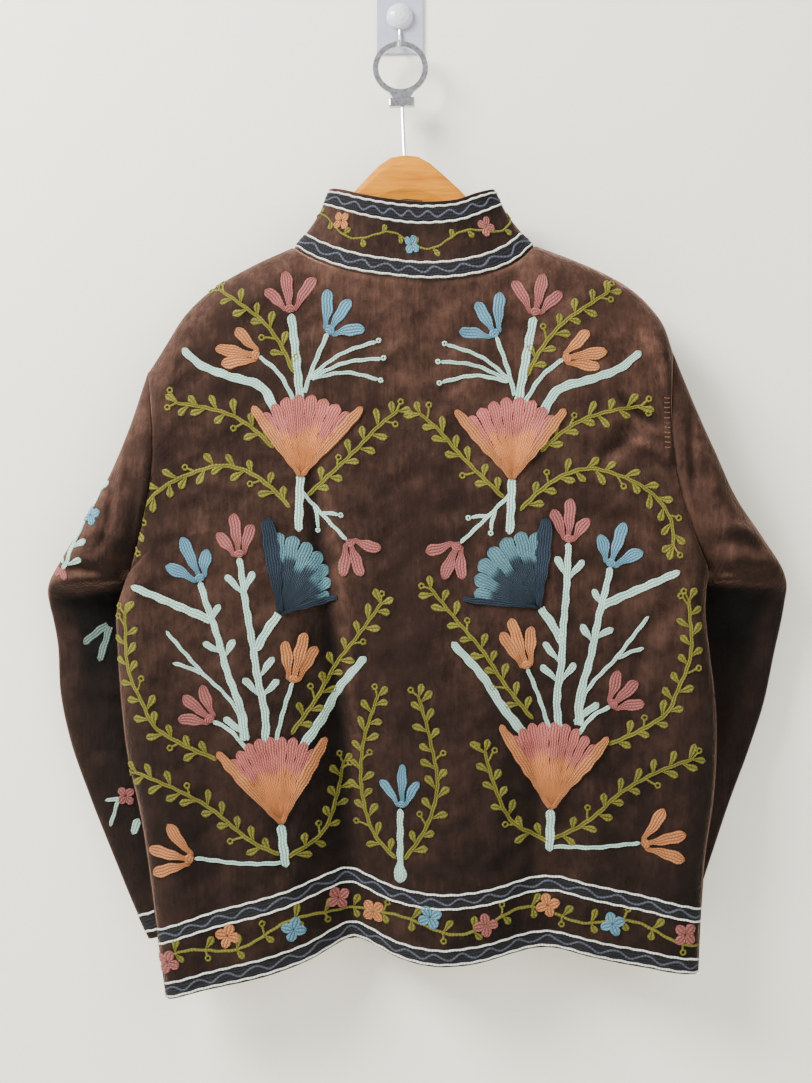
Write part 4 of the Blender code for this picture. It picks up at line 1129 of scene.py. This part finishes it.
class Look:
    """A material made of nodes."""

    def __init__(self, name):
        self.material = bpy.data.materials.new(name)
        self.material.use_nodes = True
        self.tree = self.material.node_tree
        self.tree.nodes.clear()

    def node(self, kind, settings=None, inputs=None, output=0):
        made = self.tree.nodes.new(kind)
        settings = dict(settings or {})
        stops = settings.pop("stops", None)
        for name, value in settings.items():
            setattr(made, name, value)
        if stops:
            ramp = made.color_ramp.elements
            while len(ramp) < len(stops):
                ramp.new(1.0)
            for element, (place, colour) in zip(ramp, stops):
                element.position = place
                element.color = (*colour, 1.0)
        for name, value in (inputs or {}).items():
            socket = made.inputs[name]
            if isinstance(value, Value):
                self.tree.links.new(value.socket, socket)
            else:
                socket.default_value = value
        return Value(self, made.outputs[output])

    def coordinates(self, kind="Object"):
        return self.node("ShaderNodeTexCoord", output=kind)

    def stretched(self, scale):
        return self.node("ShaderNodeMapping", inputs={"Vector": self.coordinates(), "Scale": scale})

    def noise(self, where, scale, detail=3.0, rough=0.5):
        return self.node("ShaderNodeTexNoise", inputs={"Vector": where, "Scale": scale, "Detail": detail,
                                                        "Roughness": rough})

    def ramp(self, factor, stops):
        return self.node("ShaderNodeValToRGB", {"stops": stops}, {"Fac": factor})

    def mix(self, factor, first, second, blend="MIX"):
        return self.node("ShaderNodeMix", {"data_type": "RGBA", "blend_type": blend},
                         {0: factor, 6: first, 7: second}, output=2)

    def bump(self, height, strength, distance):
        inputs = {"Height": height, "Strength": strength, "Distance": distance}
        return self.node("ShaderNodeBump", inputs=inputs)

    def finish(self, inputs):
        shader = self.node("ShaderNodeBsdfPrincipled", inputs=inputs, output="BSDF")
        self.node_out = self.tree.nodes.new("ShaderNodeOutputMaterial")
        self.tree.links.new(shader.socket, self.node_out.inputs["Surface"])
        return self.material


def velvet_look():
    """Pile of five noises mixed into a brown ramp, times the nap_and_painted_light attribute of painted light
    and shade; their sum is the relief.
    """
    found = bpy.data.materials.get("velvet_pile")
    if found:
        return found
    cloth = bpy.context.scene.coat_cloth
    look = Look("velvet_pile")
    where = look.coordinates()
    broad = look.noise(look.stretched((1.0, 1.0, 0.6)), 9.0, 4.0, 0.6)
    patch = look.noise(where, 42.0, 4.0, 0.65)
    pile = look.noise(where, 900.0, 2.0, 0.6)
    weave = look.noise(look.stretched((1.0, 1.0, 0.12)), 300.0, 3.0, 0.6)
    fine = look.noise(look.stretched((1.0, 1.0, 0.7)), 150.0, 3.0, 0.6)
    nap_and_painted_light = broad * 0.36 + patch * 0.3 + fine * 0.18 + weave * 0.16
    dark, light = tuple(cloth.velvet), tuple(cloth.nap_and_painted_light)
    middle = tuple(0.6 * a + 0.4 * b for a, b in zip(dark, light))
    base = look.ramp(nap_and_painted_light, [(0.38, tuple(0.7 * a for a in dark)), (0.47, dark), (0.55, middle), (0.66, light)])
    base = look.mix(0.3, base, look.ramp(pile, [(0.3, (0.25, 0.25, 0.25)), (0.75, (1, 1, 1))]), "MULTIPLY")
    # Painted light and shade: the cloth's attribute darkens and lightens the base colour
    painted_light_tone = look.node("ShaderNodeAttribute", {"attribute_name": "nap_and_painted_light"}, output="Fac")
    base = look.mix(1.0, base, painted_light_tone, "MULTIPLY")
    height = pile * 0.35 + weave * 0.6 + fine * 1.2 + patch * 1.6
    normal = look.bump(height, 0.7, 0.0016)
    return look.finish({"Base Color": base, "Roughness": 0.85, "Normal": normal, "Specular IOR Level": 0.12,
                        "Sheen Weight": 0.75, "Sheen Roughness": 0.28, "Sheen Tint": (*cloth.sheen, 1.0)})


def thread_look():
    """Chain stitch on UV, one unit of v to a row: a sine across each row, times slanted links along it."""
    found = bpy.data.materials.get("chain_stitch")
    if found:
        return found
    look = Look("chain_stitch")
    split = look.node("ShaderNodeSeparateXYZ", inputs={0: look.coordinates("UV")})
    node = split.socket.node
    along, phase = Value(look, node.outputs[0]), Value(look, node.outputs[1])
    row = phase.floor()
    within = phase.fraction()
    across = (within * math.pi).sine()
    slant = (within * 2 - 1).size() * 0.42
    link = ((along / LINK + row * 0.5 + slant).fraction() * math.pi).sine()
    fuzz = look.noise(look.coordinates(), 1500.0, 2.0, 0.6)
    relief = across * (0.3 + link * 0.7) + fuzz * 0.3
    colour = look.node("ShaderNodeAttribute", {"attribute_name": "thread"}, output="Color")
    worn = look.noise(look.coordinates(), 70.0, 3.0, 0.6)
    shade = look.ramp(relief, [(0.12, (0.3, 0.3, 0.3)), (0.5, (0.8, 0.8, 0.8)), (0.95, (1.12, 1.12, 1.12))])
    base = look.mix(1.0, colour, shade, "MULTIPLY")
    wear = look.ramp(worn, [(0.3, (0.86, 0.86, 0.86)), (0.7, (1.08, 1.08, 1.08))])
    base = look.mix(1.0, base, wear, "MULTIPLY")
    return look.finish({"Base Color": base, "Roughness": 0.72, "Normal": look.bump(relief, 0.9, 0.0009),
                        "Specular IOR Level": 0.2})


def wood_look():
    """Varnished wood: two noises drawn out along the grain."""
    look = Look("varnished_wood")
    grain = look.noise(look.stretched((0.35, 1.0, 3.2)), 60.0, 5.0, 0.6)
    fine = look.noise(look.stretched((0.2, 1.0, 6.0)), 260.0, 3.0, 0.5)
    tone = grain * 0.7 + fine * 0.3
    stops = [(0.3, (0.33, 0.095, 0.003)), (0.5, (0.50, 0.175, 0.006)), (0.72, (0.60, 0.25, 0.012))]
    base = look.ramp(tone, stops)
    return look.finish({"Base Color": base, "Roughness": 0.34 + fine * 0.12,
                        "Normal": look.bump(fine, 0.15, 0.0005), "Coat Weight": 0.05, "Coat Roughness": 0.3,
                        "Specular IOR Level": 0.12})


def steel_look():
    """Bright steel with scuffs."""
    look = Look("bright_steel")
    scuff = look.noise(look.coordinates(), 240.0, 4.0, 0.7)
    base = look.ramp(scuff, [(0.3, (0.38, 0.39, 0.41)), (0.7, (0.58, 0.59, 0.62))])
    return look.finish({"Base Color": base, "Metallic": 1.0, "Roughness": 0.2 + scuff * 0.18})


def plastic_look(name, tint, roughness):
    """Smooth plastic, slightly clouded."""
    look = Look(name)
    cloud = look.noise(look.coordinates(), 90.0, 3.0, 0.5)
    base = look.ramp(cloud, [(0.3, tuple(0.92 * c for c in tint)), (0.7, tint)])
    return look.finish({"Base Color": base, "Roughness": roughness + cloud * 0.08, "Coat Weight": 0.2})


def wall_look(name, one_sided=False):
    """Matt paint. A one-sided sheet lets light and sight through from behind."""
    stage = bpy.context.scene.coat_stage
    look = Look(name)
    cloud = look.noise(look.stretched((1.0, 1.0, 0.35)), 5.0, 5.0, 0.6)
    grit = look.noise(look.coordinates(), 160.0, 4.0, 0.65)
    tint = tuple(stage.wall)
    base = look.ramp(cloud * 0.8 + grit * 0.2, [(0.3, tuple(0.95 * c for c in tint)), (0.7, tint)])
    made = look.finish({"Base Color": base, "Roughness": 0.9, "Normal": look.bump(grit, 0.18, 0.001)})
    if one_sided:
        paint = look.node_out.inputs["Surface"].links[0].from_socket
        clear = look.node("ShaderNodeBsdfTransparent", output="BSDF")
        behind = look.node("ShaderNodeNewGeometry", output="Backfacing")
        both = look.node("ShaderNodeMixShader", inputs={0: behind, 1: Value(look, paint), 2: clear})
        look.tree.links.new(both.socket, look.node_out.inputs["Surface"])
    return made


def dress(obj, material):
    """Gives an object one material."""
    obj.data.materials.clear()
    obj.data.materials.append(material)


def keep(obj, slot, *nodes):
    """Rides with the frame and stands for its nodes. The slot is not used."""
    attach(obj, "root")
    if nodes:
        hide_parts(*nodes)


def colour(name, description, *default):
    """A colour that the panel shows."""
    return bpy.props.FloatVectorProperty(name=name, description=description, subtype="COLOR", size=3,
                                         default=default)


class ClothSettings(bpy.types.PropertyGroup):
    """Colours of the velvet."""

    velvet: colour("Velvet", "Pile that lies away from the light", 0.031, 0.0145, 0.0098)
    nap_and_painted_light: colour("Nap", "Pile brushed towards the light", 0.100, 0.048, 0.033)
    sheen: colour("Sheen", "Light along the edges", 0.56, 0.33, 0.25)


class ThreadSettings(bpy.types.PropertyGroup):
    """Colours of the embroidery threads."""

    mint: colour("Mint", "Stems", 0.39, 0.60, 0.52)
    olive: colour("Olive", "Branches", 0.145, 0.134, 0.019)
    rose: colour("Rose", "Flowers", 0.28, 0.092, 0.084)
    peach: colour("Peach", "Flowers and fans", 0.45, 0.172, 0.064)
    mauve: colour("Mauve", "Tops of the fans", 0.30, 0.095, 0.092)
    blue: colour("Blue", "Flowers", 0.102, 0.238, 0.325)
    sky: colour("Sky", "Rim of the blue fan", 0.062, 0.145, 0.195)
    navy: colour("Navy", "Body of the blue fan", 0.016, 0.027, 0.044)
    white: colour("White", "Border lines", 0.72, 0.76, 0.70)
    slate: colour("Slate", "Border bands", 0.008, 0.0075, 0.010)
    wave: colour("Wave", "Waves on the bands", 0.060, 0.065, 0.090)


class StageSettings(bpy.types.PropertyGroup):
    """Wall, floor and light."""

    wall: colour("Wall", "Paint", 0.88, 0.862, 0.765)
    power: bpy.props.FloatProperty(name="Power", description="Main light", default=165.0, min=0.0,
                                   unit="POWER")


class COAT_OT_back(bpy.types.Operator):
    """Back panel of the coat"""

    bl_idname = "coat.back"
    bl_label = "Back panel"

    def execute(self, context):
        piece = cloth_shell("coat_back", back_cloth(), 160, 190, ("bottom",))
        dress(piece, velvet_look())
        keep(piece, "velvet", "back_panel")
        return {"FINISHED"}


class COAT_OT_fronts(bpy.types.Operator):
    """The two fronts, open down the middle"""

    bl_idname = "coat.fronts"
    bl_label = "Fronts"

    def execute(self, context):
        for side, cloth in front_cloths().items():
            piece = cloth_shell(f"coat_front_{side}", cloth, 76, 150, ("bottom", "right"))
            dress(piece, velvet_look())
            keep(piece, "velvet", f"front_{side}")
        return {"FINISHED"}


class COAT_OT_sleeves(bpy.types.Operator):
    """The two sleeves"""

    bl_idname = "coat.sleeves"
    bl_label = "Sleeves"

    def execute(self, context):
        for side, tables in SLEEVES.items():
            piece = cloth_shell(f"coat_sleeve_{side}", Sleeve(*tables), 120, 160, ("bottom",), wrap=True)
            dress(piece, velvet_look())
            keep(piece, "velvet", f"sleeve_{side}_upper", f"sleeve_{side}_lower")
        return {"FINISHED"}


class COAT_OT_collar(bpy.types.Operator):
    """The stand collar with its borders"""

    bl_idname = "coat.collar"
    bl_label = "Collar"

    def execute(self, context):
        cloth = Collar()
        piece = cloth_shell("coat_collar", cloth, 170, 26, ("top", "left", "right"))
        dress(piece, velvet_look())
        keep(piece, "velvet", "collar")
        sewing = Sewing("collar_borders", cloth)
        along = np.linspace(3, cloth.length - 3, 200)
        level = level_line(along)
        edging(sewing, level, (12.5, 68.5), 6.8, (4.4, 20.6, 60.8, 76.0),
               3.0 * np.sin(2 * math.pi * along / 29 + 1.3 * np.sin(along / 41)))
        vine = level(40 + 7 * np.sin(2 * math.pi * along / 96 + 0.6))
        sewing.strip(vine, 1.5, thread("olive"), rows=1)
        leaves = Bed(sewing, (0, 0))
        for number, at in enumerate(range(6, 194, 8)):
            side = 1 if number % 2 else -1
            leaves.leaflet(vine[at], turned((1, 0), side * math.radians(58)), 10)
        for place, height, petals in COLLAR_FLOWERS:
            flower(sewing, (place, height), petals, size=5.6)
        sewing.build()
        return {"FINISHED"}


class COAT_OT_plants(bpy.types.Operator):
    """Chain-stitch plants on the back"""

    bl_idname = "coat.plants"
    bl_label = "Plants"

    def execute(self, context):
        cloth = back_cloth()
        for side, upper, blue, tips, lower in PLANT_BEDS:
            sewing = Sewing(f"plants_upper_{side}", cloth)
            plant_upper(Bed(sewing, *upper))
            plant_blue(Bed(sewing, *blue), *tips)
            sewing.build()
            sewing = Sewing(f"plants_lower_{side}", cloth)
            plant_lower(Bed(sewing, *lower))
            sewing.build()
        sewing = Sewing("plant_centre", cloth)
        plant_centre(Bed(sewing, (1, -909)))
        sewing.build()
        sewing = Sewing("armhole_stitches", cloth)
        dull_peach = thread("peach") * [0.4, 0.5, 0.8]
        for z in range(-472, -418, 5):
            sewing.strip([(268, z), (271, z - 0.5), (274, z)], 0.75, dull_peach, rows=1, height=0.5)
        sewing.build()
        return {"FINISHED"}


class COAT_OT_sleeve_plants(bpy.types.Operator):
    """Chain-stitch motifs on the left sleeve, and the border of each cuff"""

    bl_idname = "coat.sleeve_plants"
    bl_label = "Sleeve plants"

    def execute(self, context):
        sewing = Sewing("sleeve_plants", Sleeve(*SLEEVES["left"]))
        bed = Bed(sewing, (-308, -516))
        bed.stem([(0, 0), (-7, -18), (-16, -37), (-26, -61), (-30, -73), (-36, -79)], 5)
        for root, tip in [((0, 0), (11, 10)), ((-22, -57), (-9, -49)), ((-29, -74), (-13, -69)),
                          ((-33, -73), (-38, -67))]:
            bed.leaf([root, tip], 7)
        flower(sewing, (-313.5, -541), "blue", 5.6, 0.35)
        bed.stem([(-38, -78), (-43, -86)], 7, "rose")
        bed.stem([(-36, -79), (-31, -90)], 8, "rose")
        bed = Bed(sewing, (-302, -664))
        # Painted shade: the leaves in the hollow below the elbow's fold are darkened, and what follows on the
        # lower sleeve a little
        sewing.shade = 0.3
        bed.stem([(-1, 10), (-14, 1), (-27, -10)], 8)
        bed.stem([(1, 8), (-5, -12), (-10, -28)], 8)
        sewing.shade = 0.85
        flower(sewing, (-284, -832), "rose", 5.6, 0.75)
        bed = Bed(sewing, (-297, -836))
        bed.stem([(8, 0), (-2, 0), (-10, -2)], 4.6, round_start=True)
        bed.stem([(4, -1), (0, -14), (-5, -29)], 4.6)
        bed.stem([(26, -19), (23, -27), (19, -36)], 9, round_start=True)
        sewing.build()
        for side, (rings, creases) in SLEEVES.items():
            sewing = Sewing(f"cuff_border_{side}", Cuff(rings, creases))
            girth = GIRTH * math.dist(rings[-1][0:2], rings[-1][2:4])
            edging(sewing, level_line(np.linspace(0, 0.998 * girth, 90)), (15,), 6.2, (7.0, 23.0))
            sewing.build()
        return {"FINISHED"}


class COAT_OT_borders(bpy.types.Operator):
    """Borders round the hem, on the back and the fronts"""

    bl_idname = "coat.borders"
    bl_label = "Hem borders"

    def execute(self, context):
        fronts = front_cloths()
        for name, cloth, flowers, fall in (("back", back_cloth(), BACK_FLOWERS, 745.0),
                                           ("front_left", fronts["left"], FRONT_LEFT_FLOWERS, 690.0),
                                           ("front_right", fronts["right"], FRONT_RIGHT_FLOWERS, 690.0)):
            sewing = Sewing(f"{name}_border", cloth)
            border(sewing, cloth, flowers, fall)
            sewing.build()
        return {"FINISHED"}


class COAT_OT_hanger(bpy.types.Operator):
    """Wood, steel and plastic of the hanger and the wall hook"""

    bl_idname = "coat.hanger"
    bl_label = "Hanger and hook"

    def execute(self, context):
        looks = {"hanger": wood_look(), "ring": steel_look(),
                 "hook_plate": plastic_look("plate", (0.40, 0.41, 0.50), 0.35),
                 "hook_dome": plastic_look("dome", (0.62, 0.64, 0.70), 0.12)}
        for name in ("clip", "pin", "hook_wire"):
            looks[name] = looks["ring"]
        for name, look in looks.items():
            dress(bpy.data.objects[name], look)
        return {"FINISHED"}


class COAT_OT_stage(bpy.types.Operator):
    """Wall, floor, lights and camera"""

    bl_idname = "coat.stage"
    bl_label = "Stage"

    def execute(self, context):
        stage = context.scene.coat_stage
        side, low, high = 4000, -1400, 2600
        wall = put_mesh("wall", [(-side, 1, low), (side, 1, low), (side, 1, high), (-side, 1, high)],
                        [(0, 1, 2, 3)])
        floor = put_mesh("floor", [(-side, -side, low), (side, -side, low), (side, 1, low), (-side, 1, low)],
                         [(0, 1, 2, 3)])
        dress(wall, wall_look("painted_wall", one_sided=True))
        dress(floor, wall_look("painted_floor"))
        wall.visible_shadow = False
        world = bpy.data.worlds.new("soft")
        world.use_nodes = True
        sky = world.node_tree.nodes["Background"].inputs
        sky["Color"].default_value = (1.0, 0.98, 0.95, 1.0)
        sky["Strength"].default_value = 0.5
        context.scene.world = world
        for name, power, size, place in (("key", stage.power, 1.0, (-1.5, -1.25, 0.9)),
                                         ("fill", stage.power * 0.22, 1.8, (1.4, -1.8, 0.1)),
                                         ("behind", stage.power * 0.07, 1.2, (0.3, 1.6, 0.3))):
            lamp = bpy.data.lights.new(name, "AREA")
            lamp.energy = power
            lamp.size = size
            obj = bpy.data.objects.new(name, lamp)
            obj.location = place
            aim = np.array([0.0, 0.0, -0.6]) - np.array(place)
            tilt = math.acos(-aim[2] / np.linalg.norm(aim))
            obj.rotation_euler = (tilt, 0, math.atan2(aim[1], aim[0]) - math.pi / 2)
            context.scene.collection.objects.link(obj)
        lens = bpy.data.cameras.new("camera")
        lens.sensor_fit = "VERTICAL"
        lens.sensor_height = 36.0
        lens.lens = 46.2
        camera = bpy.data.objects.new("camera", lens)
        camera.location = (0.0068, -1.485, -0.5675)
        camera.rotation_euler = (math.pi / 2, 0, 0)
        context.scene.collection.objects.link(camera)
        context.scene.camera = camera
        return {"FINISHED"}


class COAT_PT_pieces(bpy.types.Panel):
    """Shows the coat's settings and a button for each operator"""

    bl_label = "Coat"
    bl_idname = "COAT_PT_pieces"
    bl_space_type = "VIEW_3D"
    bl_region_type = "UI"
    bl_category = "Coat"

    def draw(self, context):
        for group in (context.scene.coat_cloth, context.scene.coat_threads, context.scene.coat_stage):
            for name in group.__annotations__:
                self.layout.prop(group, name)
        for operator in OPERATORS:
            self.layout.operator(operator.bl_idname)


SETTINGS = {"coat_cloth": ClothSettings, "coat_threads": ThreadSettings, "coat_stage": StageSettings}
OPERATORS = (COAT_OT_stage, COAT_OT_back, COAT_OT_fronts, COAT_OT_sleeves, COAT_OT_collar, COAT_OT_plants,
             COAT_OT_sleeve_plants, COAT_OT_borders, COAT_OT_hanger)


def register():
    """Adds the classes, and the settings to the scene."""
    for each in (*SETTINGS.values(), *OPERATORS, COAT_PT_pieces):
        bpy.utils.register_class(each)
    for name, group in SETTINGS.items():
        setattr(bpy.types.Scene, name, bpy.props.PointerProperty(type=group))


def unregister():
    """Takes the settings and the classes away again."""
    for name in SETTINGS:
        delattr(bpy.types.Scene, name)
    for each in (COAT_PT_pieces, *reversed(OPERATORS), *SETTINGS.values()):
        bpy.utils.unregister_class(each)


def main():
    """Makes every piece in order."""
    register()
    for operator in OPERATORS:
        family, name = operator.bl_idname.split(".")
        getattr(getattr(bpy.ops, family), name)()


if __name__ == "__main__":
    main()
